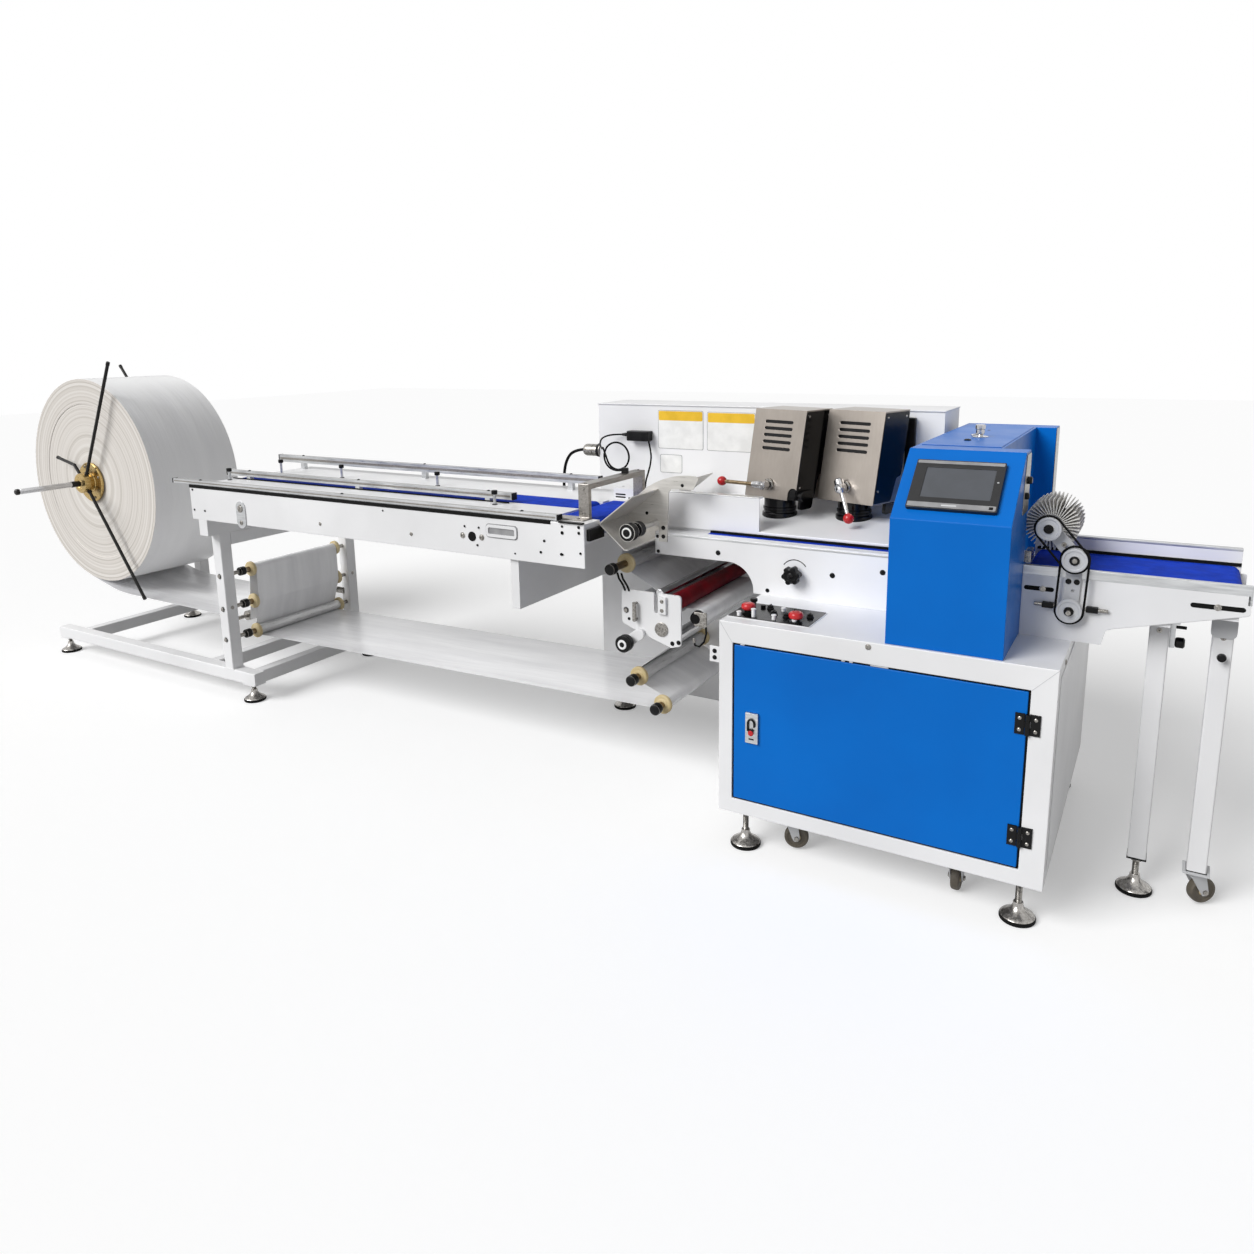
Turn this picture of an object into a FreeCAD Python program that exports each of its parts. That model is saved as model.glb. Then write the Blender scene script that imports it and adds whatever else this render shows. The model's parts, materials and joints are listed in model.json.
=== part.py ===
import FreeCAD, Part
import math
import os

V = FreeCAD.Vector

# Horizontal packing machine, mm.  X runs along the machine from the film roll to the
# outfeed, Y to the back, Z up.  The pieces are laid out from the front left corner of the
# base cabinet at floor level, and moved to the middle of the machine when written.

# cabinet and tall rear housing
cabinet_length = 820.0
cabinet_depth = 908.0
cabinet_bottom = 120.0
cabinet_height = 538.0
cabinet_wall = 20.0
rear_front_y = 708.0
rear_left_x = -807.0
rear_right_x = 402.0
rear_top = 1164.0
rear_cap = 4.0

# cabinet door
door_left = 44.0
door_margin = 60.0
door_low = 166.0
door_high = 597.0
door_thick = 18.0
door_gap = 5.0
hinge_leaf = 27.0
hinge_height = 50.0
hinge_pin = 5.0
hinge_sheet = 3.0
hinge_low = 221.0
hinge_high = 496.0
latch_width = 35.0
latch_inset = 36.0
latch_height = 84.0

# levelling feet and casters
foot_radius = 42.0
foot_stem = 8.0
foot_inset = 32.0
caster_wheel = 33.0
caster_wide = 22.0
caster_trail = 18.0
caster_lift = 6.0
caster_plate = 58.0
caster_plate_thick = 4.0
caster_race_tall = 8.0
caster_cheek_gap = 2.5
caster_axle = 4.0
fork_sheet = 3.0
swivel_pin = 7.0

# fits and gaps
joint_play = 0.05
joint_slip = 0.3
touch_gap = 0.3
film_gap = 0.5
pull_gap = 1.0

# unwind stand
rail = 50.0
stand_left = -3419.0
stand_right = -2046.0
stand_front = 95.0
stand_back = 775.0
stand_lift = 70.0
leg_left = -2222.0
leg_top = 672.0
first_cross_lead = 153.0
cross_inset = 11.0
tube_corner = 4.0

# film roll
roll_x = -3264.5
roll_z = 789.0
roll_at = (roll_x, roll_z)
roll_radius = 465.0
core_radius = 38.0
film_front = 250.0
film_width = 420.0
film_thick = 1.0
loop_drop = 14.0
loop_run = 150.0
loop_radius = 700.0
roll_shaft = 12.0
shaft_front = -85.0
shaft_past_post = 15.0
hub_flange = 90.0
hub_drum = 45.0
hub_flange_thick = 12.0
front_drum_long = 46.0
back_drum_long = 26.0
rod_radius = 6.0
rod_front_reach = 610.0
rod_back_reach = 650.0
bearing_size = 80.0
bearing_thick = 45.0

# film rollers
roller_radius = 20.0
flange_radius = 30.0
flange_thick = 16.0
axle_radius = 8.0
collar_radius = 17.0
collar_long = 24.0
collar_set_off = 22.0
crease_lead = 45.0
sleeve_radius = 11.0
shell_overlap = 2.0
top_roller_z = 500.0
middle_roller_z = 366.0
bottom_roller_z = 240.0
idler_lead = 40.0
idler_z = 291.0
idler_arm = 6.0
idler_lug = 14.0
lower_guide = (-300.0, 280.0)
upper_guide = (-383.0, 358.0)
crease_at = (-423.0, 715.0)
print_radius = 25.0
print_at = (-238.0, 622.0)
press_radius = 22.0
press_at = (-180.0, 575.0)
steel_radius = 14.0
steel_at = (-292.0, 640.0)

# infeed conveyor
infeed_left = -2255.0
infeed_right = -449.0
infeed_front = 48.0
infeed_back = 640.0
infeed_low = 735.0
infeed_top = 866.0
side_sheet = 6.0
belt_front = 270.0
belt_back = 400.0
transfer_left = -606.0
transfer_front = 138.0
transfer_back = 436.0
belt_rise = 1.0
belt_thick = 3.0
belt_groove = 45.0
infeed_deck_thick = 60.0
guide_rail_left = -2360.0
guide_rail_size = 22.0
guide_foot = 20.0
front_guide = (guide_rail_left, -545.0, 52.0, 870.0, 16.0)
middle_guide = (-2292.0, -857.0, 246.0, 878.0, 22.0)
back_guide = (guide_rail_left, -720.0, 560.0, 892.0, 30.0)
guide_post = 5.0
guide_post_knob = 9.0
guide_post_knob_tall = 12.0
bracket_left = -729.0
bracket_wide = 31.0
bearer_lefts = [-1650.0, -1190.0]
bearer_wide = 40.0
bracket_low = 578.0

# posts beside the infeed belt: x, y and height, and the block at its end
guide_posts = [(-2230.0, 210.0, 34.0), (-2180.0, 420.0, 46.0), (-1850.0, 440.0, 40.0),
               (-900.0, 210.0, 34.0), (-1350.0, 440.0, 40.0)]
guide_block_left = -602.0
guide_block_right = -470.0
guide_block_front = 466.0
guide_block_back = 542.0
guide_block_top = 904.0

# sensor arch over the infeed
arch_left = -512.0
arch_wide = 36.0
arch_bar = 16.0
arch_front = 118.0
arch_back = 456.0
arch_top = 972.0

# bed over the cabinet
bed_left = -346.0
bed_front = 285.0
bed_low = 744.0
bed_top = 808.0
bed_sheet = 8.0
bed_cut_radius = 82.0
deck_front = 350.0
deck_front_z = 826.0
deck_back_z = 872.0
deck_thick = 8.0
shield_right = -35.0
shield_top = 927.0
bed_belt_front = 315.0
bed_belt_left = -190.0
star_knob_x = 101.0
star_knob_z = 731.0
star_stub = 5.0
bed_foot_x = -23.0
strip_thick = 5.0

# forming box and wing
lip = (-445.0, 857.0)
ear_top = (-332.0, 945.0)
apron_foot = (-359.0, 785.0)
former_front = 120.0
former_back = 660.0
far_ear_front = 520.0
former_sheet = 3.0
wing_thick = 4.0
forming_knob_at = (-338.0, 842.0)
forming_wheel = 26.0
forming_disc = 22.0
forming_wheel_front = 102.0
forming_wheel_thick = 26.0
forming_disc_front = 152.0
forming_disc_thick = 24.0

# feed unit
feed_y = 200.0
feed_left = -418.0
feed_right = -216.0
feed_top = 645.0
feed_low = 481.0
feed_sheet = 8.0
notch_left = -306.0
notch_wide = 14.0
notch_deep = 62.0
spacer_centres = [(-388.0, 606.0), (-350.0, 524.0), (-262.0, 500.0)]
spacer_radius = 12.0
cap_centre = (-281.0, 535.0)
cap_radius = 21.0
cap_proud = 3.0
handle_left, handle_right = -371.0, -360.0
handle_low, handle_high = 552.0, 612.0
handle_proud = 14.0
arm_root = (-352.0, 512.0)
arm_radius = 8.0
arm_start_proud, arm_end_proud = 10.0, 30.0
boss_radius = 15.0
boss_proud = 16.0
feed_wheel_centre = (-385.0, 488.0)
feed_wheel_radius = 26.0
feed_wheel_front, feed_wheel_back = 58.0, 24.0

# sealing heads
head_wide = 195.0
head_deep = 127.0
head_tall = 266.0
head_lean = 50.0
head_yaw = 18.0
head_one = (-150.0, 510.0)
head_two = (75.0, 537.0)
head_bottom = 905.0
head_base_radius = 54.0
lever_rod = 6.0
lever_ball = 15.0
lever_stub = 6.0
lever_wall = 6.0

# blue end crimper cover
cover_left = 433.0
cover_right = 701.0
cover_front = 8.0
cover_fold = 966.0
cover_top = 1113.0
cover_top_front = 171.0
cover_strip_back = 240.0
cover_step_top = 830.0
cover_mid_right = 638.0
cover_rear_front = 830.0
cover_rear_back = 905.0
cover_rear_right = 692.0
tunnel_top = 950.0
tunnel_back = 520.0
screen_wide = 204.0
screen_tall = 150.0
screen_thick = 12.0
screen_share = 0.47

# outfeed conveyor
outfeed_end = 1169.0
outfeed_front = 232.0
outfeed_back = 462.0
outfeed_top = 812.0
outfeed_end_low = 766.0
outfeed_notch_x = 891.0
outfeed_notch_z = 700.0
outfeed_belt_front = 247.0
outfeed_belt_back = 440.0
outfeed_belt_top = 832.0
outfeed_belt_drop = 40.0
guard_rise = 42.0
outfeed_leg = 42.0
outfeed_foot_x = 1000.0
outfeed_wheel_x = 1128.0
outfeed_leg_y = 330.0
outfeed_leg_low = 95.0

# brush over the outfeed
brush_radius = 62.0
brush_front = 250.0
brush_back = 384.0
brush_pulley = (756.0, 934.0)
elbow_pulley = (816.0, 864.0)
drive_pulley = (811.0, 738.0)
pulley_radius = 28.0
pulley_thick = 12.0
arm_thick = 8.0
arm_wide = 34.0
round_belt = 3.0
brush_pin = 6.0

# control panel on the cabinet top
panel_left = 2.0
panel_right = 232.0
panel_front = 42.0
panel_back = 188.0
panel_thick = 3.0
mushroom_radius = 19.0

# plug on the rear housing, sockets on its left side and the clamp on the arch
plug_left = -672.0
plug_right = -585.0
plug_front = 672.0
plug_low = 1037.0
plug_top = 1072.0
socket_nut_long = 18.0
lead_clamp_left = -506.0
lead_clamp_right = -484.0
lead_clamp_y = 361.5
lead_clamp_tall = 18.0
lead_gap = 1.0

# leads: each is its radius and the points that it bends past
sensor_coil_at = (-530.0, 1024.0)
sensor_coil_radius = 47.0
sensor_coil_back = 380.0
sensor_coil_pitch = 14.0
sensor_lead_radius = 3.0
sensor_lead_start = [(-700, 690, 1057), (-730, 688, 1056), (-752, 670, 1052), (-755, 640, 1045),
                     (-730, 590, 1036), (-690, 530, 1030), (-645, 470, 1030), (-603, 404, 1048)]
gauge_lead_radius = 3.0
gauge_lead_route = [(-592, 690, plug_low - 1.5), (-579, 685, 997), (-551, 630, 970), (-525, 565, 945),
                    (-507, 515, 926), (-503, 503, guide_block_top + 2)]
supply_lead_radius = 5.5
supply_lead_route = [(-890, 730, 991), (-938, 731, 985), (-972, 733, 945), (-985, 735, 888),
                     (-988, 738, 806), (-980, 740, 730), (-953, 740, 673), (-910, 740, 648),
                     (-865, 740, 647)]

# place of each caster: x, y, swivel angle and height of the surface it hangs from
caster_places = {
    "front_left": (172.0, 96.0, 20.0, cabinet_bottom),
    "front_right": (612.0, 92.0, 90.0, cabinet_bottom),
    "back_left": (172.0, 812.0, 140.0, cabinet_bottom),
    "back_right": (612.0, 816.0, 60.0, cabinet_bottom),
    "outfeed": (outfeed_wheel_x, outfeed_leg_y, 35.0, outfeed_leg_low),
}

# lever name, its head, share of the width, height of the hub, reach across, outward and up
seal_levers = [
    ("seal_lever_one", head_one, 0.46, 42.0, (-160.0, 10.0, -2.0)),
    ("seal_lever_two", head_two, 0.49, 44.0, (58.0, 38.0, -78.0)),
]

cabinet_top = cabinet_bottom + cabinet_height
door_right = cabinet_length - door_margin
first_cross = leg_left - first_cross_lead
stand_roller_x = leg_left + rail / 2
idler_at = (leg_left - idler_lead, idler_z)
film_back = film_front + film_width
stand_rail_top = stand_lift + rail
leg_right = leg_left + rail
back_rail_front = stand_back - rail
shell_flange_front = film_front - shell_overlap - flange_thick
shell_flange_back = film_back + shell_overlap + flange_thick


# simple solids

def box(x0, x1, y0, y1, z0, z1):
    return Part.makeBox(x1 - x0, y1 - y0, z1 - z0, V(x0, y0, z0))


def tube(x0, x1, y0, y1, z0, z1, along):
    """square tube, its four long edges rounded"""
    bar = box(x0, x1, y0, y1, z0, z1)
    edges = []
    for edge in bar.Edges:
        run = edge.Vertexes[1].Point - edge.Vertexes[0].Point
        if abs(getattr(run, along)) > 0.99 * run.Length:
            edges.append(edge)
    return bar.makeFillet(tube_corner, edges)


def rod_y(at, radius, y0, y1):
    return Part.makeCylinder(radius, y1 - y0, V(at[0], y0, at[1]), V(0, 1, 0))


def rod_z(x, y, radius, z0, z1):
    return Part.makeCylinder(radius, z1 - z0, V(x, y, z0), V(0, 0, 1))


def rod_between(start, end, radius):
    run = end - start
    return Part.makeCylinder(radius, run.Length, start, run)


def fused(pieces):
    return pieces[0].multiFuse(pieces[1:]).removeSplitter()


def apart(pieces):
    """like pieces that share a node and don't touch"""
    return Part.makeCompound(pieces)


def sheet_xz(points, y0, y1):
    """a flat outline in X and Z with its thickness along Y"""
    corners = [V(x, y0, z) for x, z in points]
    face = Part.Face(Part.makePolygon(corners + corners[:1]))
    return face.extrude(V(0, y1 - y0, 0))


def sheet_yz(points, x0, x1):
    corners = [V(x0, y, z) for y, z in points]
    face = Part.Face(Part.makePolygon(corners + corners[:1]))
    return face.extrude(V(x1 - x0, 0, 0))


def face_of(edges):
    return Part.Face(Part.Wire(Part.__sortEdges__(edges)))


# levelling feet

def level_foot(x, y, top):
    """rubber base, pressed dome and threaded stem, turned as one solid"""
    r = foot_radius
    outline = [(0, 0), (r, 0), (r, 9), (r - 3, 12), (0.62 * r, 21), (0.36 * r, 34),
               (foot_stem + 4, 38), (foot_stem + 4, 46), (foot_stem, 46), (foot_stem, top), (0, top)]
    corners = [V(a, 0, z) for a, z in outline]
    face = Part.Face(Part.makePolygon(corners + corners[:1]))
    foot = face.revolve(V(0, 0, 0), V(0, 0, 1), 360)
    foot.translate(V(x, y, 0))
    return foot


def levelling_feet():
    stand = [(x, y + rail / 2) for x in (stand_left + foot_inset, stand_right - foot_radius)
             for y in (stand_front, back_rail_front)]
    cabinet = [(x, y) for x in (foot_inset + 24, cabinet_length - foot_inset - 24)
               for y in (foot_inset + 28, cabinet_depth - foot_inset - 28)]
    housing = [(rear_left_x + 60, y) for y in (rear_front_y + 50, cabinet_depth - 50)]
    feet = [level_foot(x, y, stand_lift) for x, y in stand]
    feet += [level_foot(x, y, cabinet_bottom) for x, y in cabinet + housing]
    feet.append(level_foot(outfeed_foot_x, outfeed_leg_y, outfeed_leg_low))
    return {"levelling_feet": apart(feet)}


# unwind stand

def cross_tube(x0, low):
    return tube(x0, x0 + rail, stand_front + rail, back_rail_front, low, low + rail, "y")


def unwind_stand():
    long_rails = [tube(stand_left, stand_right, y, y + rail, stand_lift, stand_rail_top, "x")
                  for y in (stand_front, back_rail_front)]
    lefts = (roll_x - rail / 2, first_cross, stand_right - cross_inset - rail)
    cross_rails = [cross_tube(x, stand_lift) for x in lefts]
    cross_rails.append(cross_tube(leg_left, leg_top - rail))
    legs = [tube(leg_left, leg_right, y, y + rail, stand_rail_top, leg_top, "z")
            for y in (stand_front, back_rail_front)]
    return {
        "unwind_long_rails": apart(long_rails),
        "unwind_cross_rails": apart(cross_rails),
        "unwind_uprights": apart(legs + [roll_post()]),
    }


# film roll on its overhung shaft

def roll_post():
    """rear upright with the bearing block that the shaft turns in"""
    half = bearing_size / 2
    front = stand_back - rail / 2 - bearing_thick / 2
    post = tube(roll_x - rail / 2, roll_x + rail / 2, back_rail_front, stand_back,
                stand_rail_top, roll_z - half, "z")
    block = box(roll_x - half, roll_x + half, front, front + bearing_thick, roll_z - half, roll_z + half)
    bore = rod_y(roll_at, roll_shaft + joint_play, shaft_front, stand_back + rail)
    return post.fuse(block).cut(bore)


def clamp_rod(angle, reach, y):
    turn = math.radians(angle)
    aim = V(math.cos(turn), 0, math.sin(turn))
    root = V(roll_x, y, roll_z)
    tip = Part.makeSphere(rod_radius + 2, root + aim * reach)
    return rod_between(root + aim * roll_shaft, root + aim * reach, rod_radius).fuse(tip)


def bent_rod(y, side):
    root = V(roll_x, y, roll_z)
    elbow = V(roll_x - side * 66, y, roll_z + 78)
    end = V(roll_x - side * 192, y, roll_z + 106)
    return fused([rod_between(root, elbow, rod_radius), Part.makeSphere(rod_radius, elbow),
                  rod_between(elbow, end, rod_radius), Part.makeSphere(rod_radius + 2, end)])


def clamp_hub(face_y, outward, drum_long, rods):
    """brass flange against the roll, and the drum that holds the clamp rods"""
    flange_end = face_y + outward * hub_flange_thick
    drum_end = flange_end + outward * drum_long
    flange = rod_y(roll_at, hub_flange, min(face_y, flange_end), max(face_y, flange_end))
    drum = rod_y(roll_at, hub_drum, min(flange_end, drum_end), max(flange_end, drum_end))
    return [flange, drum] + rods


def film_roll_parts():
    roll = rod_y(roll_at, roll_radius, film_front, film_back)
    roll = roll.cut(rod_y(roll_at, core_radius, film_front - 1, film_back + 1))
    front_y = film_front - hub_flange_thick - front_drum_long / 2
    back_y = film_back + hub_flange_thick + back_drum_long / 2
    front_rods = [clamp_rod(61.2, rod_front_reach, front_y), clamp_rod(-54.9, rod_front_reach, front_y),
                  bent_rod(front_y, 1)]
    back_rods = [clamp_rod(128.6, rod_back_reach, back_y), clamp_rod(248.6, rod_back_reach, back_y),
                 bent_rod(back_y, -1)]
    pieces = clamp_hub(film_front, -1, front_drum_long, front_rods)
    pieces += clamp_hub(film_back, 1, back_drum_long, back_rods)
    pieces.append(rod_y(roll_at, roll_shaft, shaft_front, stand_back + shaft_past_post))
    pieces.append(rod_y(roll_at, core_radius - touch_gap, film_front, film_back))
    return {
        "film_roll": roll,
        "roll_shaft": fused(pieces),
    }


# film path: straight runs and arcs round the rollers, seen from the front.
# A roller is x, z, radius and turn, with turn 1 where the film winds to the left.

def heading_between(a, b):
    dx, dz = b[0] - a[0], b[1] - a[1]
    k = b[3] * b[2] - a[3] * a[2]
    run = math.sqrt(dx * dx + dz * dz - k * k)
    return math.atan2(dz, dx) - math.atan2(k, run)


def path_point(roller, heading):
    x, z, r, turn = roller
    return (x + turn * r * math.sin(heading), z - turn * r * math.cos(heading))


def straight_film(a, b):
    heading = math.atan2(b[1] - a[1], b[0] - a[0])
    nx = -math.sin(heading) * film_thick / 2
    nz = math.cos(heading) * film_thick / 2
    corners = [(a[0] - nx, a[1] - nz), (b[0] - nx, b[1] - nz), (b[0] + nx, b[1] + nz), (a[0] + nx, a[1] + nz)]
    return sheet_xz(corners, film_front, film_back)


def curved_film(roller, heading_in, heading_out):
    x, z, r, turn = roller
    sweep = (turn * (heading_out - heading_in)) % (2 * math.pi)
    rings = []
    for radius in (r - film_thick / 2, r + film_thick / 2):
        headings = [heading_in + turn * sweep * share for share in (0.0, 0.5, 1.0)]
        points = [path_point((x, z, radius, turn), heading) for heading in headings]
        rings.append([V(a, film_front, b) for a, b in points])
    inner, outer = rings
    edges = [Part.Arc(*inner).toShape(), Part.LineSegment(inner[2], outer[2]).toShape(),
             Part.Arc(*outer).toShape(), Part.LineSegment(outer[0], inner[0]).toShape()]
    return face_of(edges).extrude(V(0, film_width, 0))


def wrap(at, radius, turn):
    return (at[0], at[1], radius + film_gap + film_thick / 2, turn)


def slack_film():
    """hanging loop from the underside of the roll: run off, then a wide bend"""
    off = math.radians(-loop_drop)
    leave = path_point(wrap(roll_at, roll_radius, 1), off)
    bend = (leave[0] + loop_run * math.cos(off), leave[1] + loop_run * math.sin(off))
    sag = (bend[0] - loop_radius * math.sin(off), bend[1] + loop_radius * math.cos(off), loop_radius, 1)
    return leave, bend, sag, off


def film_web():
    leave, bend, sag, off = slack_film()
    pieces = [straight_film(leave, bend)]
    stops = [sag,
             wrap(idler_at, roller_radius, 1),
             wrap((stand_roller_x, top_roller_z), roller_radius, -1),
             wrap((stand_roller_x, middle_roller_z), roller_radius, -1),
             wrap((stand_roller_x, bottom_roller_z), roller_radius, 1),
             wrap(lower_guide, roller_radius, 1),
             wrap(upper_guide, roller_radius, -1),
             wrap(press_at, press_radius, 1),
             wrap(print_at, print_radius, -1),
             wrap(crease_at, roller_radius, -1),
             (lip[0] - film_thick * 2, lip[1] - film_thick * 3, 0.0, -1)]
    heading = off
    for stop, following in zip(stops, stops[1:]):
        onward = heading_between(stop, following)
        pieces.append(curved_film(stop, heading, onward))
        pieces.append(straight_film(path_point(stop, onward), path_point(following, onward)))
        heading = onward
    return {"film_web": fused(pieces)}


# rollers and their fixed axles

def roller_shell(at):
    pieces = [rod_y(at, roller_radius, shell_flange_front, shell_flange_back)]
    for y in (shell_flange_front, shell_flange_back - flange_thick):
        pieces.append(rod_y(at, flange_radius, y, y + flange_thick))
    return fused(pieces).cut(rod_y(at, axle_radius + joint_play, stand_front, rear_front_y))


def roller_axle(at, y0, y1, collar_y):
    """axle with a black end collar and a bare sleeve up to the roller's flange"""
    return fused([rod_y(at, axle_radius, y0, y1),
                  rod_y(at, collar_radius, collar_y, collar_y + collar_long),
                  rod_y(at, sleeve_radius, collar_y, shell_flange_front - pull_gap)])


def tension_idler():
    """bar behind the legs that the slack film passes under, on two short arms"""
    front, back = stand_front + rail, back_rail_front
    pieces = [rod_y(idler_at, axle_radius, front, back),
              rod_y(idler_at, roller_radius, film_front - shell_overlap, film_back + shell_overlap)]
    for y in (front, back - idler_arm):
        pieces.append(box(idler_at[0] - idler_lug, leg_left + idler_lug, y, y + idler_arm,
                          idler_at[1] - idler_lug, idler_at[1] + idler_lug))
    return fused(pieces)


def rollers():
    front, back = stand_front + rail, back_rail_front
    collar_y = shell_flange_front - pull_gap - collar_long - collar_set_off
    nodes = {}
    axles = [tension_idler()]
    for name, z in (("top", top_roller_z), ("middle", middle_roller_z), ("bottom", bottom_roller_z)):
        at = (stand_roller_x, z)
        nodes["stand_" + name + "_roller"] = roller_shell(at)
        axles.append(roller_axle(at, front, back, collar_y))
    for name, at, lead in (("lower_guide_roller", lower_guide, 0), ("upper_guide_roller", upper_guide, 0),
                           ("crease_roller", crease_at, crease_lead)):
        nodes[name] = roller_shell(at)
        axles.append(roller_axle(at, collar_y - lead, rear_front_y, collar_y - lead))
    nodes["roller_axles"] = apart(axles)
    return nodes


# feed unit below the bed

def feed_unit():
    inner = feed_y + feed_sheet
    outline = [(feed_left, feed_top), (feed_right, feed_top), (feed_right, feed_low + 10),
               (feed_right - 34, feed_low), (feed_left, feed_low + 56)]
    plate = sheet_xz(outline, feed_y, inner)
    notch = box(notch_left, notch_left + notch_wide, feed_y - 1, inner + 1, feed_top - notch_deep, feed_top + 1)
    spacers = [rod_y(at, spacer_radius, inner, rear_front_y) for at in spacer_centres]
    cap = rod_y(cap_centre, cap_radius, feed_y - cap_proud, feed_y)
    handle = box(handle_left, handle_right, feed_y - handle_proud, feed_y, handle_low, handle_high)
    boss = rod_y(arm_root, boss_radius, feed_y - boss_proud, feed_y)
    arm_start = V(arm_root[0], feed_y - arm_start_proud, arm_root[1])
    arm_end = V(feed_wheel_centre[0], feed_y - arm_end_proud, feed_wheel_centre[1])
    wheel = rod_y(feed_wheel_centre, feed_wheel_radius, feed_y - feed_wheel_front, feed_y - feed_wheel_back)
    frame = fused([plate.cut(notch), cap, handle, boss, rod_between(arm_start, arm_end, arm_radius), wheel]
                  + spacers)
    feed_rollers = [rod_y(press_at, press_radius, inner + 37, rear_front_y),
                    rod_y(print_at, print_radius, inner, rear_front_y),
                    rod_y(steel_at, steel_radius, inner, rear_front_y)]
    return {"feed_frame": frame, "feed_rollers": apart(feed_rollers)}


# cabinet and rear housing

def base_cabinet():
    w = cabinet_wall
    shell = box(0, cabinet_length, 0, cabinet_depth, cabinet_bottom, cabinet_top)
    hollow = box(w, cabinet_length - w, w, cabinet_depth - w, cabinet_bottom + w, cabinet_top - w)
    doorway = box(door_left - door_gap, door_right + door_gap, -1, w + 1,
                  door_low - door_gap, door_high + door_gap)
    return shell.cut(hollow).cut(doorway)


def rear_housing():
    upper = box(rear_left_x, rear_right_x, rear_front_y, cabinet_depth, cabinet_top, rear_top - rear_cap)
    lower = box(rear_left_x, 0, rear_front_y, cabinet_depth, cabinet_bottom, cabinet_top)
    cap = box(rear_left_x - 3, rear_right_x + 3, rear_front_y - 3, cabinet_depth, rear_top - rear_cap, rear_top)
    return fused([upper, lower, cap])


# casters: a fixed plate with a pin, a fork that swivels on it and a wheel that rolls

def caster(x, y, angle, top):
    axle_z = caster_lift + caster_wheel
    race_low = top - caster_plate_thick - caster_race_tall
    crown_top = race_low - 1
    crown_low = crown_top - fork_sheet
    half = caster_plate / 2
    plate = box(x - half, x + half, y - half, y + half, top - caster_plate_thick, top)
    race = rod_z(x, y, 20, race_low, top)
    pin = rod_z(x, y, swivel_pin, crown_low - 3, race_low)
    cheek_in = caster_wide / 2 + caster_cheek_gap
    cheek_out = cheek_in + fork_sheet
    hub = (x + caster_trail, axle_z)
    outline = [(x - 18, crown_low), (x + 18, crown_low), (hub[0] + 9, axle_z), (hub[0] + 4, axle_z - 9),
               (hub[0] - 6, axle_z - 9), (hub[0] - 12, axle_z)]
    cheeks = [sheet_xz(outline, y - cheek_out, y - cheek_in), sheet_xz(outline, y + cheek_in, y + cheek_out)]
    crown = box(x - 18, x + 18, y - cheek_out, y + cheek_out, crown_low, crown_top)
    crown = crown.cut(rod_z(x, y, swivel_pin + joint_play, crown_low - 1, crown_top + 1))
    fork = fused(cheeks + [crown, rod_y(hub, caster_axle, y - cheek_out - 4, y + cheek_out + 4)])
    wheel = rod_y(hub, caster_wheel, y - caster_wide / 2, y + caster_wide / 2)
    wheel = wheel.cut(rod_y(hub, caster_axle + joint_play, y - caster_wide, y + caster_wide))
    for part in (fork, wheel):
        part.rotate(V(x, y, 0), V(0, 0, 1), angle)
    return fused([plate, race, pin]), fork, wheel


def casters():
    nodes = {}
    plates = []
    for name, (x, y, angle, top) in caster_places.items():
        mount, fork, wheel = caster(x, y, angle, top)
        plates.append(mount)
        nodes[name + "_caster_fork"] = fork
        nodes[name + "_caster_wheel"] = wheel
    nodes["caster_plates"] = apart(plates)
    return nodes


# door with its latch and hinges

def hinge_parts(low):
    """leaf on the door with the middle knuckle, and leaf on the frame with the outer two"""
    x = door_right + door_gap / 2
    high = low + hinge_height
    third = hinge_height / 3
    middle = (low + third + joint_slip, high - third - joint_slip)
    notch = hinge_pin + 1.5
    pin = rod_z(x, -hinge_pin, hinge_pin / 2, low, high)
    bore = rod_z(x, -hinge_pin, hinge_pin / 2 + joint_play, low - 1, high + 1)
    leaf = box(x - hinge_leaf, x - notch, -hinge_sheet, 0, low, high)
    tongue = box(x - notch, x, -hinge_sheet, 0, middle[0], middle[1])
    knuckle = rod_z(x, -hinge_pin, hinge_pin, middle[0], middle[1])
    on_door = fused([leaf, tongue, knuckle]).cut(bore)
    plate = box(x + notch, x + hinge_leaf, -hinge_sheet, 0, low, high)
    on_frame = [plate, pin]
    for z0, z1 in ((low, low + third), (high - third, high)):
        on_frame.append(rod_z(x, -hinge_pin, hinge_pin, z0, z1))
        on_frame.append(box(x, x + notch, -hinge_sheet, 0, z0, z1))
    return on_door, fused(on_frame)


def door_parts():
    latch_x = door_left + latch_inset
    latch_z = (door_low + door_high) / 2 - 5
    latch = box(latch_x, latch_x + latch_width, -7, 0, latch_z - latch_height / 2, latch_z + latch_height / 2)
    button = rod_y((latch_x + latch_width / 2, latch_z - 8), 8, -12, -7)
    hinges = [hinge_parts(low) for low in (hinge_low, hinge_high)]
    return {
        "cabinet_door": box(door_left, door_right, 0, door_thick, door_low, door_high),
        "door_fittings": apart([fused([latch, button])] + [on_door for on_door, on_frame in hinges]),
        "frame_hinge_leaves": apart([on_frame for on_door, on_frame in hinges]),
    }


# control panel on the cabinet top

def control_panel():
    top = cabinet_top + panel_thick
    pieces = [box(panel_left, panel_right, panel_front, panel_back, cabinet_top, top)]
    for x, y in ((46, 84), (188, 62)):
        pieces.append(rod_z(x, y, mushroom_radius / 2, top, top + 14))
        pieces.append(rod_z(x, y, mushroom_radius, top + 14, top + 27))
    for x, y in ((88, 66), (128, 62), (84, 150), (120, 150), (158, 146), (206, 120)):
        pieces.append(rod_z(x, y, 8, top, top + 9))
    return {"control_panel": fused(pieces)}


# bed above the cabinet

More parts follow.
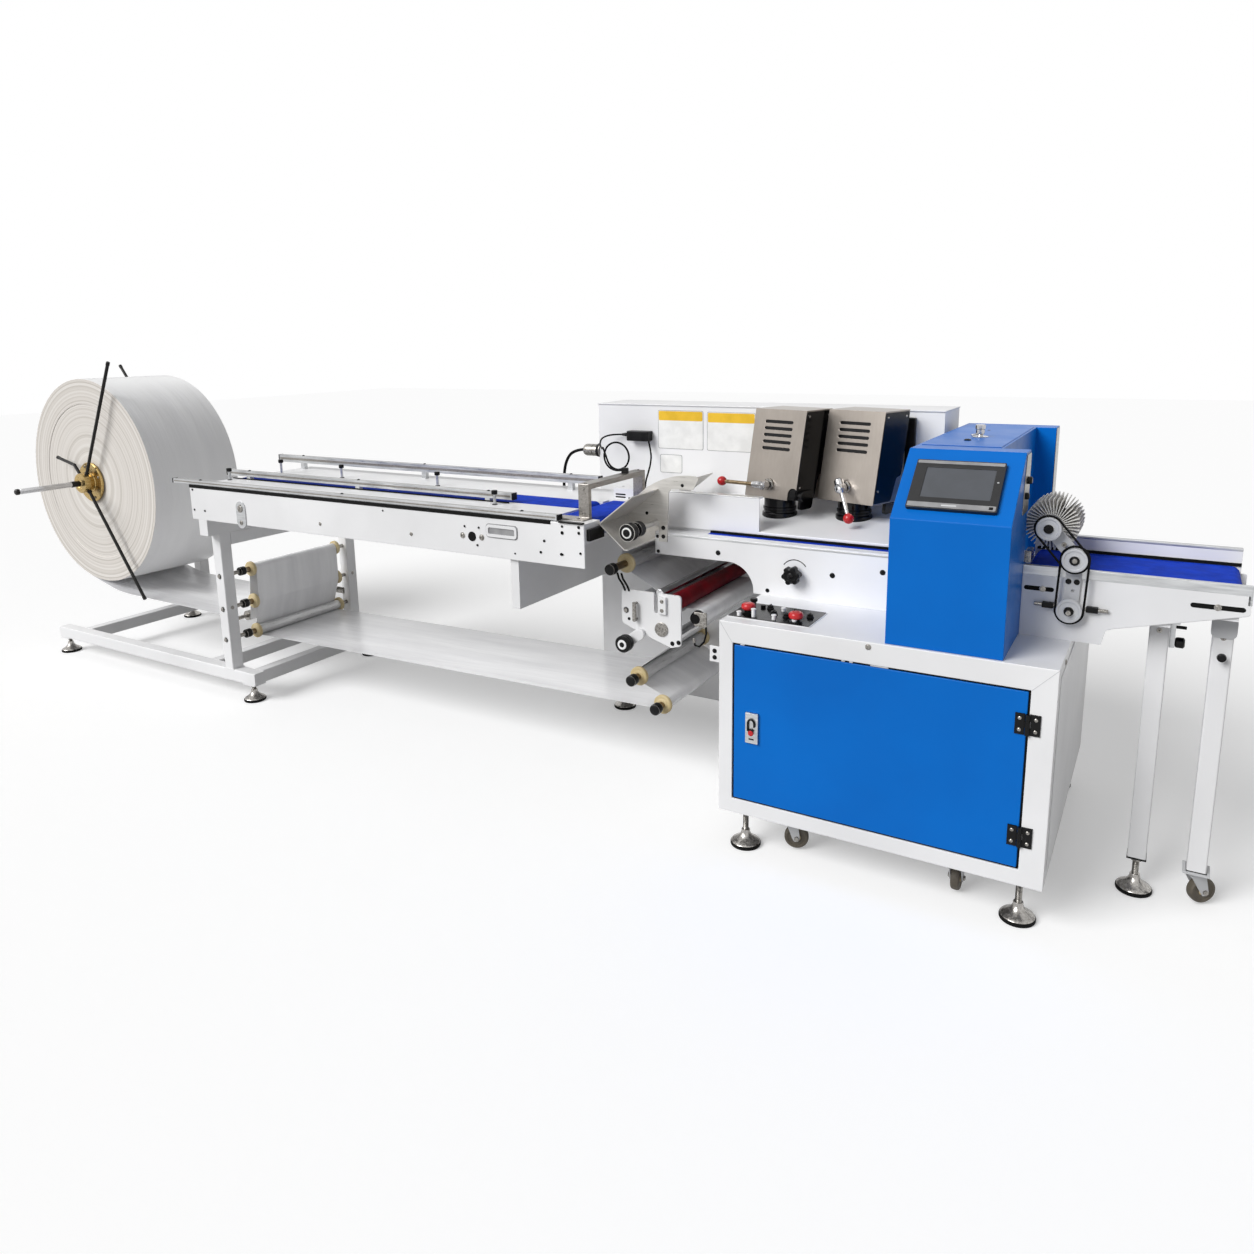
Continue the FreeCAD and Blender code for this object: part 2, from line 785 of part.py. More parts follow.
def bed_outline():
    """front plate of the bed, its foot on the cabinet and a quarter round over the feed unit"""
    r = bed_cut_radius
    start = V(bed_foot_x - r, bed_front, bed_low)
    end = V(bed_foot_x, bed_front, bed_low - r)
    share = math.sin(math.pi / 4)
    middle_point = V(start.x + r * share, bed_front, bed_low - r + r * share)
    chain = [end, V(bed_foot_x, bed_front, cabinet_top), V(cover_right, bed_front, cabinet_top),
             V(cover_right, bed_front, bed_top), V(bed_left, bed_front, bed_top),
             V(bed_left, bed_front, bed_low), start]
    edges = [Part.Arc(start, middle_point, end).toShape()]
    for a, b in zip(chain, chain[1:]):
        edges.append(Part.LineSegment(a, b).toShape())
    return face_of(edges)


def star_knob():
    at = (star_knob_x, star_knob_z)
    pieces = [rod_y(at, 22, bed_front - 38, bed_front - 10), rod_y(at, 12, bed_front - 10, bed_front - pull_gap)]
    for k in range(6):
        turn = math.radians(60 * k + 10)
        ear = (at[0] + 20 * math.cos(turn), at[1] + 20 * math.sin(turn))
        pieces.append(rod_y(ear, 6, bed_front - 38, bed_front - 10))
    return fused(pieces).cut(rod_y(at, star_stub + joint_play, bed_front - 30, bed_front))


def bed_parts():
    inner = bed_front + bed_sheet
    stub = rod_y((star_knob_x, star_knob_z), star_stub, bed_front - 29, bed_front)
    edge_strip = box(bed_left, cover_left, bed_front, bed_belt_front, bed_top, bed_top + strip_thick)
    core = box(bed_left, cover_left, inner, rear_front_y, bed_low, bed_top)
    trunk = box(0, cover_left, inner, rear_front_y, cabinet_top, bed_low)
    under_tunnel = box(cover_left, cover_right, inner, tunnel_back, cabinet_top, bed_top)
    deck_outline = [(deck_front, deck_front_z), (rear_front_y, deck_back_z), (rear_front_y, bed_top),
                    (deck_front + 10, bed_top), (deck_front + 10, deck_front_z - deck_thick),
                    (deck_front, deck_front_z - deck_thick)]
    deck = sheet_yz(deck_outline, bed_left, cover_left)
    shield = box(bed_left + 12, shield_right, deck_front, deck_front + 4, deck_front_z - deck_thick, shield_top)
    lip_bar = box(bed_left + 12, shield_right, deck_front, deck_front + 30, shield_top - 4, shield_top)
    return {
        "bed_front_plate": bed_outline().extrude(V(0, bed_sheet, 0)).fuse(stub),
        "bed_body": fused([core, trunk, under_tunnel, edge_strip]),
        "bed_deck": fused([deck, shield, lip_bar]),
        "star_knob": star_knob(),
    }


# forming box: an apron that the film climbs, two ears that fold it, and the side wing

def slanted_sheet(a, b, y0, y1):
    """sheet between two points seen from the front, its thickness to the right"""
    run = math.hypot(b[0] - a[0], b[1] - a[1])
    nx = (b[1] - a[1]) / run * former_sheet
    nz = -(b[0] - a[0]) / run * former_sheet
    return sheet_xz([a, b, (b[0] + nx, b[1] + nz), (a[0] + nx, a[1] + nz)], y0, y1)


def forming_box():
    wing_front = bed_front - wing_thick
    apron = slanted_sheet(apron_foot, lip, former_front, former_back)
    near_ear = slanted_sheet(lip, ear_top, former_front, wing_front)
    far_ear = slanted_sheet(lip, ear_top, far_ear_front, former_back)
    foot = box(apron_foot[0] - 2, bed_left, former_front, former_back,
               apron_foot[1], apron_foot[1] + former_sheet)
    return fused([apron, near_ear, far_ear, foot])


def forming_wing():
    y = bed_front - wing_thick
    start, top_end = V(-440, y, 876), V(-209, y, 989)
    curve = Part.Arc(start, V(-352, y, 958), top_end).toShape()
    chain = [top_end, V(-198, y, 982), V(-215, y, 949), V(-289, y, 946), V(-297, y, 934), V(-301, y, 838),
             V(-304, y, bed_top - 24), V(-332, y, bed_top - 24), V(-332, y, 829), V(-391, y, 831),
             V(-441, y, 845), start]
    edges = [curve] + [Part.LineSegment(a, b).toShape() for a, b in zip(chain, chain[1:])]
    return face_of(edges).extrude(V(0, wing_thick, 0))


def forming_parts():
    wing = forming_wing()
    wheel_back = forming_wheel_front + forming_wheel_thick
    shaft = rod_y(forming_knob_at, axle_radius, wheel_back, bed_front - wing_thick)
    wheel = rod_y(forming_knob_at, forming_wheel, forming_wheel_front, wheel_back)
    disc = rod_y(forming_knob_at, forming_disc, forming_disc_front, forming_disc_front + forming_disc_thick)
    return {
        "forming_box": forming_box().cut(wing),
        "forming_wing": fused([wing, shaft, wheel, disc]),
    }


# sealing heads

def head_axes(corner):
    """front lower corner of a cover, with its directions across, inward and up the lean"""
    yaw = math.radians(head_yaw)
    across = V(math.cos(yaw), -math.sin(yaw), 0)
    inward = V(math.sin(yaw), math.cos(yaw), 0)
    up = V(0, 0, head_tall) + inward * head_lean
    return V(corner[0], corner[1], head_bottom), across, inward, up


def head_cover(corner):
    start, across, inward, up = head_axes(corner)
    wide = across * head_wide
    front = [start, start + wide, start + wide + up, start + up, start]
    cover = Part.Face(Part.makePolygon(front)).extrude(inward * head_deep)
    for k in range(5):
        slot = box(-52, 52, -6, 6, -4, 4)
        slot.rotate(V(0, 0, 0), V(0, 0, 1), -head_yaw)
        slot.translate(start + wide * 0.5 + up * (0.86 - 0.075 * k))
        cover = cover.cut(slot)
    return cover


def lever_axis(corner, share, hub_up):
    """hub of a lever on the cover's front face, and the way it points out"""
    start, across, inward, up = head_axes(corner)
    return start + across * (head_wide * share) + up * (hub_up / head_tall), inward * -1.0


def seal_head(corner, share, hub_up, deck):
    start, across, inward, up = head_axes(corner)
    base = start + across * (head_wide * 0.48) + inward * (head_deep * 0.45)
    ring = rod_z(base.x, base.y, head_base_radius, bed_top, head_bottom - 43)
    post = rod_z(base.x, base.y, head_base_radius - 6, bed_top, head_bottom)
    hub, outward = lever_axis(corner, share, hub_up)
    stub = rod_between(hub - outward * 4, hub + outward * 30, lever_stub)
    return fused([head_cover(corner), ring.fuse(post).cut(deck), stub])


def ball_rod(start, end):
    """rod with a ball on its end, turned as one solid"""
    long = (end - start).Length
    neck = long - math.sqrt(lever_ball ** 2 - lever_rod ** 2)
    chain = [V(0, 0, long + lever_ball), V(0, 0, 0), V(lever_rod, 0, 0), V(lever_rod, 0, neck)]
    edges = [Part.LineSegment(a, b).toShape() for a, b in zip(chain, chain[1:])]
    edges.append(Part.Arc(chain[-1], V(lever_ball, 0, long), chain[0]).toShape())
    turned = face_of(edges).revolve(V(0, 0, 0), V(0, 0, 1), 360)
    turned.Placement = FreeCAD.Placement(start, FreeCAD.Rotation(V(0, 0, 1), end - start))
    return turned


def seal_lever(corner, share, hub_up, reach):
    hub, outward = lever_axis(corner, share, hub_up)
    across = head_axes(corner)[1]
    root = hub + outward * 26
    end = root + across * reach[0] + outward * reach[1] + V(0, 0, reach[2])
    sleeve = rod_between(hub + outward * 12, hub + outward * 38, lever_stub + lever_wall)
    sleeve = sleeve.cut(rod_between(hub, hub + outward * 31, lever_stub + joint_play))
    aim = (end - root).normalize()
    return fused([sleeve, ball_rod(root + aim * (lever_stub + lever_wall / 2), end)])


def sealing_parts(deck):
    heads = []
    nodes = {}
    for name, corner, share, hub_up, reach in seal_levers:
        heads.append(seal_head(corner, share, hub_up, deck))
        nodes[name] = seal_lever(corner, share, hub_up, reach)
    nodes["seal_heads"] = apart(heads)
    return nodes


# infeed conveyor

def looped_belt(x0, x1, y0, y1, low, top):
    """fixed belt, rounded where it turns at both ends"""
    belt = box(x0, x1, y0, y1, low, top)
    edges = []
    for edge in belt.Edges:
        a, b = edge.Vertexes[0].Point, edge.Vertexes[1].Point
        if abs(a.y - b.y) > 1 and abs(a.x - b.x) < 0.01:
            edges.append(edge)
    return belt.makeFillet(0.45 * (top - low), edges)


def belts():
    groove_floor = infeed_top - belt_groove
    top = infeed_top + belt_rise
    infeed = looped_belt(infeed_left + 6, transfer_left - 6, belt_front, belt_back, groove_floor, top)
    transfer = looped_belt(transfer_left + 4, infeed_right - 4, transfer_front, transfer_back, groove_floor, top)
    bed = box(bed_belt_left, cover_right, bed_belt_front, deck_front, bed_top, bed_top + belt_thick)
    outfeed = looped_belt(cover_right + 6, outfeed_end - 16, outfeed_belt_front, outfeed_belt_back,
                          outfeed_belt_top - outfeed_belt_drop, outfeed_belt_top)
    return {"conveyor_belts": apart([infeed, transfer, bed, outfeed])}


def infeed_parts():
    left, right = infeed_left, infeed_right
    sides = [box(left, right, y, y + side_sheet, infeed_low, infeed_top)
             for y in (infeed_front, infeed_back - side_sheet)]
    inner_front = infeed_front + side_sheet
    inner_back = infeed_back - side_sheet
    deck_low = infeed_top - infeed_deck_thick
    groove_low = infeed_top - belt_groove
    deck = box(left, right, inner_front, inner_back, deck_low, infeed_top)
    deck = deck.cut(box(left - 1, transfer_left, belt_front - 4, belt_back + 4, groove_low, infeed_top + 1))
    deck = deck.cut(box(transfer_left, right + 1, transfer_front - 4, transfer_back + 4,
                        groove_low, infeed_top + 1))
    saddle = box(leg_left, leg_right, infeed_front, infeed_back, leg_top, infeed_low)
    bearers = [box(x, x + bearer_wide, inner_front, inner_back, infeed_low, deck_low) for x in bearer_lefts]
    bracket = box(bracket_left, bracket_left + bracket_wide, infeed_front + 12, rear_front_y,
                  bracket_low, infeed_low)
    return {
        "infeed_side_plates": apart(sides),
        "infeed_deck": deck,
        "infeed_bearers": apart([saddle, bracket] + bearers),
    }


def guide_rail(x0, x1, y, low, tall):
    """rail on a foot near each end and one in the middle"""
    pieces = [box(x0, x1, y, y + guide_rail_size, low, low + tall)]
    for share in (0.08, 0.5, 0.92):
        x = x0 + (x1 - x0) * share
        pieces.append(box(x, x + guide_foot, y + 2, y + guide_rail_size - 2, infeed_top, low))
    return fused(pieces)


def infeed_guides():
    pieces = [guide_rail(*rail_sizes) for rail_sizes in (front_guide, middle_guide, back_guide)]
    for x, y, tall in guide_posts:
        knob_low = infeed_top + tall
        pieces.append(fused([rod_z(x, y, guide_post, infeed_top, knob_low),
                             rod_z(x, y, guide_post_knob, knob_low, knob_low + guide_post_knob_tall)]))
    pieces.append(box(guide_block_left, guide_block_right, guide_block_front, guide_block_back,
                      infeed_top, guide_block_top))
    return {"infeed_guides": apart(pieces)}


def sensor_arch():
    right = arch_left + arch_wide
    pieces = [box(arch_left, right, y, y + arch_bar, infeed_top, arch_top)
              for y in (arch_front, arch_back - arch_bar)]
    pieces.append(box(arch_left, right, arch_front, arch_back, arch_top - arch_bar, arch_top))
    pieces.append(box(arch_left - 66, right, arch_front - 30, arch_front + arch_bar, infeed_top, infeed_top + 5))
    return {"sensor_arch": fused(pieces)}


# blue crimper cover and operator screen

def crimper_parts():
    outline = [(cover_front, cabinet_top), (cover_front, cover_fold), (cover_top_front, cover_top),
               (cover_strip_back, cover_top), (cover_strip_back, cover_step_top),
               (bed_front, cover_step_top), (bed_front, cabinet_top)]
    bridge = box(cover_left, cover_mid_right, cover_strip_back, cover_rear_front, tunnel_top, cover_top)
    side = box(cover_left, cover_mid_right, tunnel_back, cover_rear_front, cabinet_top, tunnel_top)
    rear = box(cover_left, cover_rear_right, cover_rear_front, cover_rear_back, cabinet_top, cover_top)
    return {
        "crimper_front_cover": sheet_yz(outline, cover_left, cover_right),
        "crimper_rear_cover": fused([bridge, side, rear]),
        "operator_screen": operator_screen(),
    }


def operator_screen():
    rise = cover_top - cover_fold
    depth = cover_top_front - cover_front
    bezel = box(-screen_wide / 2, screen_wide / 2, -screen_tall / 2, screen_tall / 2, 0, screen_thick)
    bezel.rotate(V(0, 0, 0), V(1, 0, 0), math.degrees(math.atan2(rise, depth)))
    middle_x = (cover_left + cover_right) / 2 - 4
    bezel.translate(V(middle_x, cover_front + depth * screen_share, cover_fold + rise * screen_share))
    return bezel


# outfeed conveyor

def outfeed_plate(y0):
    points = [(cover_right, cabinet_top), (outfeed_notch_x - 8, cabinet_top),
              (outfeed_notch_x, outfeed_notch_z - 6), (outfeed_notch_x + 14, outfeed_notch_z),
              (outfeed_end - 4, outfeed_end_low), (outfeed_end, outfeed_end_low + 4),
              (outfeed_end, outfeed_top), (cover_right, outfeed_top)]
    return sheet_xz(points, y0, y0 + side_sheet)


def outfeed_parts():
    back_inner = outfeed_back - side_sheet
    top_rail = box(cover_right, outfeed_end - 2, outfeed_front, outfeed_belt_front - 2,
                   outfeed_top, outfeed_belt_top + 2)
    guard = box(cover_right, outfeed_end - 14, outfeed_belt_back + 4, outfeed_back,
                outfeed_top, outfeed_belt_top + guard_rise)
    sides = [outfeed_plate(outfeed_front).fuse(top_rail), outfeed_plate(back_inner).fuse(guard)]
    belt_low = outfeed_belt_top - outfeed_belt_drop
    supports = [box(x, x + 30, outfeed_front + side_sheet, back_inner, belt_low - 20, belt_low)
                for x in (cover_right + 30, 890)]
    supports += [outfeed_support(outfeed_foot_x), outfeed_support(outfeed_wheel_x)]
    return {"outfeed_sides": apart(sides), "outfeed_legs": apart(supports)}


def outfeed_support(x):
    """tube leg under a bearer between the side plates"""
    half = outfeed_leg / 2
    slope = (outfeed_end_low - outfeed_notch_z) / (outfeed_end - outfeed_notch_x - 14)
    low = outfeed_notch_z + slope * (x - half - outfeed_notch_x - 14)
    y = outfeed_leg_y
    leg = tube(x - half, x + half, y - half, y + half, outfeed_leg_low, low, "z")
    bearer = box(x - half, x + half, outfeed_front + side_sheet, outfeed_back - side_sheet, low, low + 20)
    return leg.fuse(bearer)


# brush over the outfeed with its round belt drive

def link_plate(a, b, y0, y1, width):
    run = math.hypot(b[0] - a[0], b[1] - a[1])
    nx, nz = -(b[1] - a[1]) / run * width / 2, (b[0] - a[0]) / run * width / 2
    corners = [(a[0] - nx, a[1] - nz), (b[0] - nx, b[1] - nz), (b[0] + nx, b[1] + nz), (a[0] + nx, a[1] + nz)]
    return fused([sheet_xz(corners, y0, y1), rod_y(a, width / 2, y0, y1), rod_y(b, width / 2, y0, y1)])


def round_belt_loop(a, b, y):
    inner_wide = 2 * (pulley_radius + touch_gap)
    outer = link_plate(a, b, y - round_belt, y + round_belt, inner_wide + 4 * round_belt)
    return outer.cut(link_plate(a, b, y - round_belt - 1, y + round_belt + 1, inner_wide))


def brush_parts():
    plate_back = outfeed_front
    plate_joint = plate_back - arm_thick
    plate_front = plate_joint - arm_thick
    near_y = plate_front - 1 - pulley_thick / 2
    far_y = near_y - pulley_thick - 1
    front = far_y - pulley_thick / 2 - 4
    pieces = [link_plate(drive_pulley, elbow_pulley, plate_joint, plate_back, arm_wide),
              link_plate(elbow_pulley, brush_pulley, plate_front, plate_joint, arm_wide),
              rod_y(elbow_pulley, brush_pin, front, plate_back), rod_y(drive_pulley, brush_pin, front, plate_back)]
    arm = fused(pieces).cut(rod_y(brush_pulley, brush_pin + joint_play, front, plate_back + 1))
    drive = []
    for at, y0, y1 in ((drive_pulley, near_y, near_y), (elbow_pulley, far_y, near_y)):
        wheel = rod_y(at, pulley_radius, y0 - pulley_thick / 2, y1 + pulley_thick / 2)
        drive.append(wheel.cut(rod_y(at, brush_pin + touch_gap, front, plate_back)))
    drive.append(round_belt_loop(drive_pulley, elbow_pulley, near_y))
    drive.append(round_belt_loop(elbow_pulley, brush_pulley, far_y))
    brush = fused([rod_y(brush_pulley, pulley_radius, far_y - pulley_thick / 2, far_y + pulley_thick / 2),
                   rod_y(brush_pulley, brush_pin, far_y, brush_back + 10),
                   rod_y(brush_pulley, brush_radius, brush_front, brush_back)])
    return {"brush_arm": arm, "brush_drive": apart(drive), "brush": brush}


# leads and the plug, sockets and clamp that they end in

def round_lead(route, radius):
    """tube of straight runs and tangent arcs past the points of its route"""
    points = [V(*point) for point in route]
    edges = []
    bends = []
    start = points[0]
    for before, corner, after in zip(points, points[1:], points[2:]):
        inward = (before - corner).normalize()
        onward = (after - corner).normalize()
        cut = 0.45 * min((before - corner).Length, (after - corner).Length)
        half_turn = (math.pi - inward.getAngle(onward)) / 2
        bend = cut / math.tan(half_turn)
        bends.append(bend)
        middle = (inward + onward).normalize()
        top = corner + middle * (bend / math.cos(half_turn) - bend)
        edges.append(Part.LineSegment(start, corner + inward * cut).toShape())
        edges.append(Part.Arc(corner + inward * cut, top, corner + onward * cut).toShape())
        start = corner + onward * cut
    edges.append(Part.LineSegment(start, points[-1]).toShape())
    path = Part.Wire(edges)
    ring = Part.Wire([Part.makeCircle(radius, points[0], points[1] - points[0])])
    lead = path.makePipeShell([ring], True, True)
    print("lead", round(path.Length), "long, least bend radius", round(min(bends), 1),
          "volume against section times length", round(lead.Volume / (math.pi * radius ** 2 * path.Length), 4))
    return lead


def sensor_lead_route():
    """from the plug to a coil of a turn and a half, and into the clamp on the arch"""
    x, z = sensor_coil_at
    route = list(sensor_lead_start)
    for k in range(11):
        turn = math.radians(180 + 45 * k)
        y = sensor_coil_back - sensor_coil_pitch * k / 8
        route.append((x + sensor_coil_radius * math.cos(turn), y, z + sensor_coil_radius * math.sin(turn)))
    route.append((lead_clamp_left - lead_gap, lead_clamp_y, arch_top + lead_clamp_tall / 2))
    return route


def socket(at, right, body_long, body_radius):
    """round connector on the left face of the housing: nut against the face, body to its left"""
    y, z = at
    nut_left = right - socket_nut_long
    body = Part.makeCylinder(body_radius, body_long, V(nut_left - body_long, y, z), V(1, 0, 0))
    nut = Part.makeCylinder(body_radius + 3, socket_nut_long, V(nut_left, y, z), V(1, 0, 0))
    return fused([body, nut])


def lead_parts():
    plug = box(plug_left, plug_right, plug_front, rear_front_y, plug_low, plug_top)
    relief_start = V(sensor_lead_start[0][0] + lead_gap, sensor_lead_start[0][1], sensor_lead_start[0][2])
    relief = rod_between(relief_start, V(plug_left, relief_start.y, relief_start.z), 5)
    clamp = box(lead_clamp_left, lead_clamp_right, lead_clamp_y - 6, lead_clamp_y + 6,
                arch_top, arch_top + lead_clamp_tall)
    upper = supply_lead_route[0]
    lower = supply_lead_route[-1]
    upper_long = rear_left_x - socket_nut_long - upper[0] - lead_gap
    lower_long = rear_left_x - socket_nut_long - lower[0] - lead_gap
    sockets = [socket(upper[1:], rear_left_x, upper_long, 22), socket(lower[1:], rear_left_x, lower_long, 18)]
    return {
        "lead_fittings": apart([plug.fuse(relief), clamp] + sockets),
        "sensor_lead": round_lead(sensor_lead_route(), sensor_lead_radius),
        "gauge_lead": round_lead(gauge_lead_route, gauge_lead_radius),
        "supply_lead": round_lead(supply_lead_route, supply_lead_radius),
    }


def all_nodes():
    bed = bed_parts()
    groups = [unwind_stand(), film_roll_parts(), film_web(), rollers(), feed_unit(), levelling_feet(),
              {"base_cabinet": base_cabinet(), "rear_housing": rear_housing()}, casters(), door_parts(),
              control_panel(), bed, forming_parts(), sealing_parts(bed["bed_deck"]), infeed_parts(),
              infeed_guides(), belts(), sensor_arch(), crimper_parts(), outfeed_parts(), brush_parts(), lead_parts()]
    nodes = {}
    for group in groups:
        nodes.update(group)
    return nodes


# the origin is on the floor under the middle of the whole machine
os.makedirs("parts", exist_ok=True)
home = V((roll_x - roll_radius + outfeed_end) / 2, (shaft_front + cabinet_depth) / 2, 0)
for node, shape in all_nodes().items():
    shape.translate(V(-home.x, -home.y, 0))
    shape.exportStep("parts/" + node + ".step")
print("middle", home.x, home.y)
for name, corner, share, hub_up, reach in seal_levers:
    hub, outward = lever_axis(corner, share, hub_up)
    print(name, "hub", hub - home, "axis", outward)
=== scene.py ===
import bpy
import json
import math
from mathutils import Matrix, Vector

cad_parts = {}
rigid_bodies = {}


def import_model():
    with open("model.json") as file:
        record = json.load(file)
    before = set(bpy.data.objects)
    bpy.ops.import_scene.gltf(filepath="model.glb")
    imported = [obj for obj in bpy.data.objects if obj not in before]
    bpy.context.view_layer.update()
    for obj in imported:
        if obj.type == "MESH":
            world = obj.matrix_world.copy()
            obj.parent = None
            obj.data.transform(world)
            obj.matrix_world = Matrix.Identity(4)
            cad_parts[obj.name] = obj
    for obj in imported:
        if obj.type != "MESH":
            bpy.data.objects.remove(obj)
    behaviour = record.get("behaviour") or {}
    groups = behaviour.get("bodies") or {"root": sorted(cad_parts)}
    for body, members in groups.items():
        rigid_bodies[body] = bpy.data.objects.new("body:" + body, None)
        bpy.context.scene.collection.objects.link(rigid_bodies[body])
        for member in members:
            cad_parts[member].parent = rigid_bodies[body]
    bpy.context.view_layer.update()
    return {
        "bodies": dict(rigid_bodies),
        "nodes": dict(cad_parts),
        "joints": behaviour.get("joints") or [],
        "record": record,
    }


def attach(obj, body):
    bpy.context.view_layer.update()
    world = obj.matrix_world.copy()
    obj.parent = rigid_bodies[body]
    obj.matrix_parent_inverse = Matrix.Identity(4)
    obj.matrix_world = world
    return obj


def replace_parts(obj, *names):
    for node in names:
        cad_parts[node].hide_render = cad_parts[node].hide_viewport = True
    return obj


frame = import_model()
nodes = frame["nodes"]
print("frame loaded:", len(nodes), "nodes")

# sizes below are millimetres from the cabinet's front left corner at the floor
cornerX, cornerY = 1.28025, -0.4115
rollX, rollZ = -3264.5, 789.0
frontFace, backFace = (0, -1, 0), (0, 1, 0)
leftFace, rightFace, topFace = (-1, 0, 0), (1, 0, 0), (0, 0, 1)

# planes of the housing and beds that fittings sit on
infeedFront, feedFront, bedFront, outfeedFront, housingFront = 48, 200, 285, 232, 708
housingLeft, coverRight, cabinetRight, coverTop, panelTop, backSheet = -807, 701, 820, 1113, 658, 909.6


def spot(x, y, z):
    return Vector((x / 1000 + cornerX, y / 1000 + cornerY, z / 1000))


# working helpers

def deselect():
    if bpy.context.object and bpy.context.object.mode != "OBJECT":
        bpy.ops.object.mode_set(mode="OBJECT")
    bpy.ops.object.select_all(action="DESELECT")


def grab(piece):
    deselect()
    piece.select_set(True)
    bpy.context.view_layer.objects.active = piece


def withModifier(piece, kind, **settings):
    grab(piece)
    modifier = piece.modifiers.new(kind.lower(), kind)
    for key, value in settings.items():
        setattr(modifier, key, value)
    bpy.ops.object.modifier_apply(modifier=modifier.name)
    return piece


def softEdges(piece, width, segments=2, angle=35):
    return withModifier(piece, "BEVEL", width=width / 1000, segments=segments, limit_method="ANGLE",
                        angle_limit=math.radians(angle))


def joined(pieces):
    grab(pieces[0])
    for piece in pieces[1:]:
        piece.select_set(True)
    if len(pieces) > 1:
        bpy.ops.object.join()
    return pieces[0]


# a list of pieces is joined before it is coloured or finished
def coloured(pieces, finish):
    piece = joined(pieces) if isinstance(pieces, list) else pieces
    piece.data.materials.clear()
    piece.data.materials.append(finishes[finish])
    return piece


def boxPiece(low, high, soft=0.0):
    deselect()
    a, b = spot(*low), spot(*high)
    bpy.ops.mesh.primitive_cube_add(size=1, location=(a + b) / 2)
    piece = bpy.context.object
    piece.scale = b - a
    grab(piece)
    bpy.ops.object.transform_apply(location=False, rotation=False, scale=True)
    if soft:
        softEdges(piece, soft)
    return piece


def closeSkin():
    bpy.ops.mesh.select_all(action="SELECT")
    bpy.ops.mesh.normals_make_consistent(inside=False)
    bpy.ops.object.mode_set(mode="OBJECT")


def turnedPiece(profile, base, along, sides=40):
    deselect()
    radius, height = profile[0]
    bpy.ops.mesh.primitive_circle_add(vertices=sides, radius=radius / 1000, fill_type="NGON",
                                      location=(0, 0, height / 1000))
    piece = bpy.context.object
    bpy.ops.object.transform_apply(location=True, rotation=True, scale=True)
    bpy.ops.object.mode_set(mode="EDIT")
    bpy.ops.mesh.select_all(action="SELECT")
    for nextRadius, nextHeight in profile[1:]:
        bpy.ops.mesh.extrude_region_move(
            TRANSFORM_OT_translate={"value": (0, 0, (nextHeight - height) / 1000)})
        if abs(nextRadius - radius) > 1e-6:
            grow = nextRadius / radius
            bpy.ops.transform.resize(value=(grow, grow, 1))
        radius, height = nextRadius, nextHeight
    closeSkin()
    piece.rotation_euler = Vector(along).to_track_quat("Z", "Y").to_euler()
    piece.location = spot(*base)
    grab(piece)
    bpy.ops.object.transform_apply(location=True, rotation=True, scale=True)
    return piece


def rodPiece(start, end, radius, sides=24, soft=0.6):
    run = spot(*end) - spot(*start)
    long = run.length * 1000
    return turnedPiece([(radius - soft, 0), (radius, soft), (radius, long - soft),
                        (radius - soft, long)], start, run, sides)


def rounded(points, radius, steps=4):
    made = []
    count = len(points)
    for k, corner in enumerate(points):
        here = Vector(corner)
        before = Vector(points[k - 1]) - here
        after = Vector(points[(k + 1) % count]) - here
        turn = before.angle(after)
        cut = min(radius / math.tan(turn / 2), before.length * 0.45, after.length * 0.45)
        a, b = here + before.normalized() * cut, here + after.normalized() * cut
        for step in range(steps + 1):
            t = step / steps
            made.append(tuple(a * (1 - t) ** 2 + here * 2 * t * (1 - t) + b * t ** 2))
    return made


def turnedCopy(piece, angle, about):
    twin = piece.copy()
    twin.data = piece.data.copy()
    bpy.context.collection.objects.link(twin)
    place = Matrix.Translation(about)
    twin.data.transform(place @ Matrix.Rotation(angle, 4, "Y") @ place.inverted())
    return twin


# shapes from an outline on any plane, stadium outlines and round loops
def sheetPiece(points, place, along, soft=0.0):
    deselect()
    bpy.ops.mesh.primitive_circle_add(vertices=len(points), radius=1, fill_type="NGON")
    piece = bpy.context.object
    for vertex, (a, b) in zip(piece.data.vertices, points):
        vertex.co = place(a, b)
    bpy.ops.object.mode_set(mode="EDIT")
    bpy.ops.mesh.select_all(action="SELECT")
    bpy.ops.mesh.extrude_region_move(TRANSFORM_OT_translate={"value": Vector(along) / 1000})
    closeSkin()
    if soft:
        softEdges(piece, soft)
    return piece


def onFront(y):
    return lambda x, z: spot(x, y, z)


def onSide(x):
    return lambda y, z: spot(x, y, z)


def onTop(z):
    return lambda x, y: spot(x, y, z)


def oblong(x0, x1, y0, y1):
    return [(x0, y0), (x1, y0), (x1, y1), (x0, y1)]


def stadium(a, b, width, steps=10):
    ax, az = a
    bx, bz = b
    heading = math.atan2(bz - az, bx - ax)
    points = []
    for (cx, cz), start in ((b, heading - math.pi / 2), (a, heading + math.pi / 2)):
        for k in range(steps + 1):
            turn = start + math.pi * k / steps
            points.append((cx + width / 2 * math.cos(turn), cz + width / 2 * math.sin(turn)))
    return points


def roundLoop(points, radius, name, closed=True):
    line = bpy.data.curves.new(name, "CURVE")
    line.dimensions = "3D"
    line.bevel_depth = radius / 1000
    line.bevel_resolution = 4
    line.use_fill_caps = True
    spline = line.splines.new("POLY")
    spline.points.add(len(points) - 1)
    for point, place in zip(spline.points, points):
        point.co = (*spot(*place), 1)
    spline.use_cyclic_u = closed
    piece = bpy.data.objects.new(name, line)
    bpy.context.collection.objects.link(piece)
    grab(piece)
    bpy.ops.object.convert(target="MESH")
    return bpy.context.object


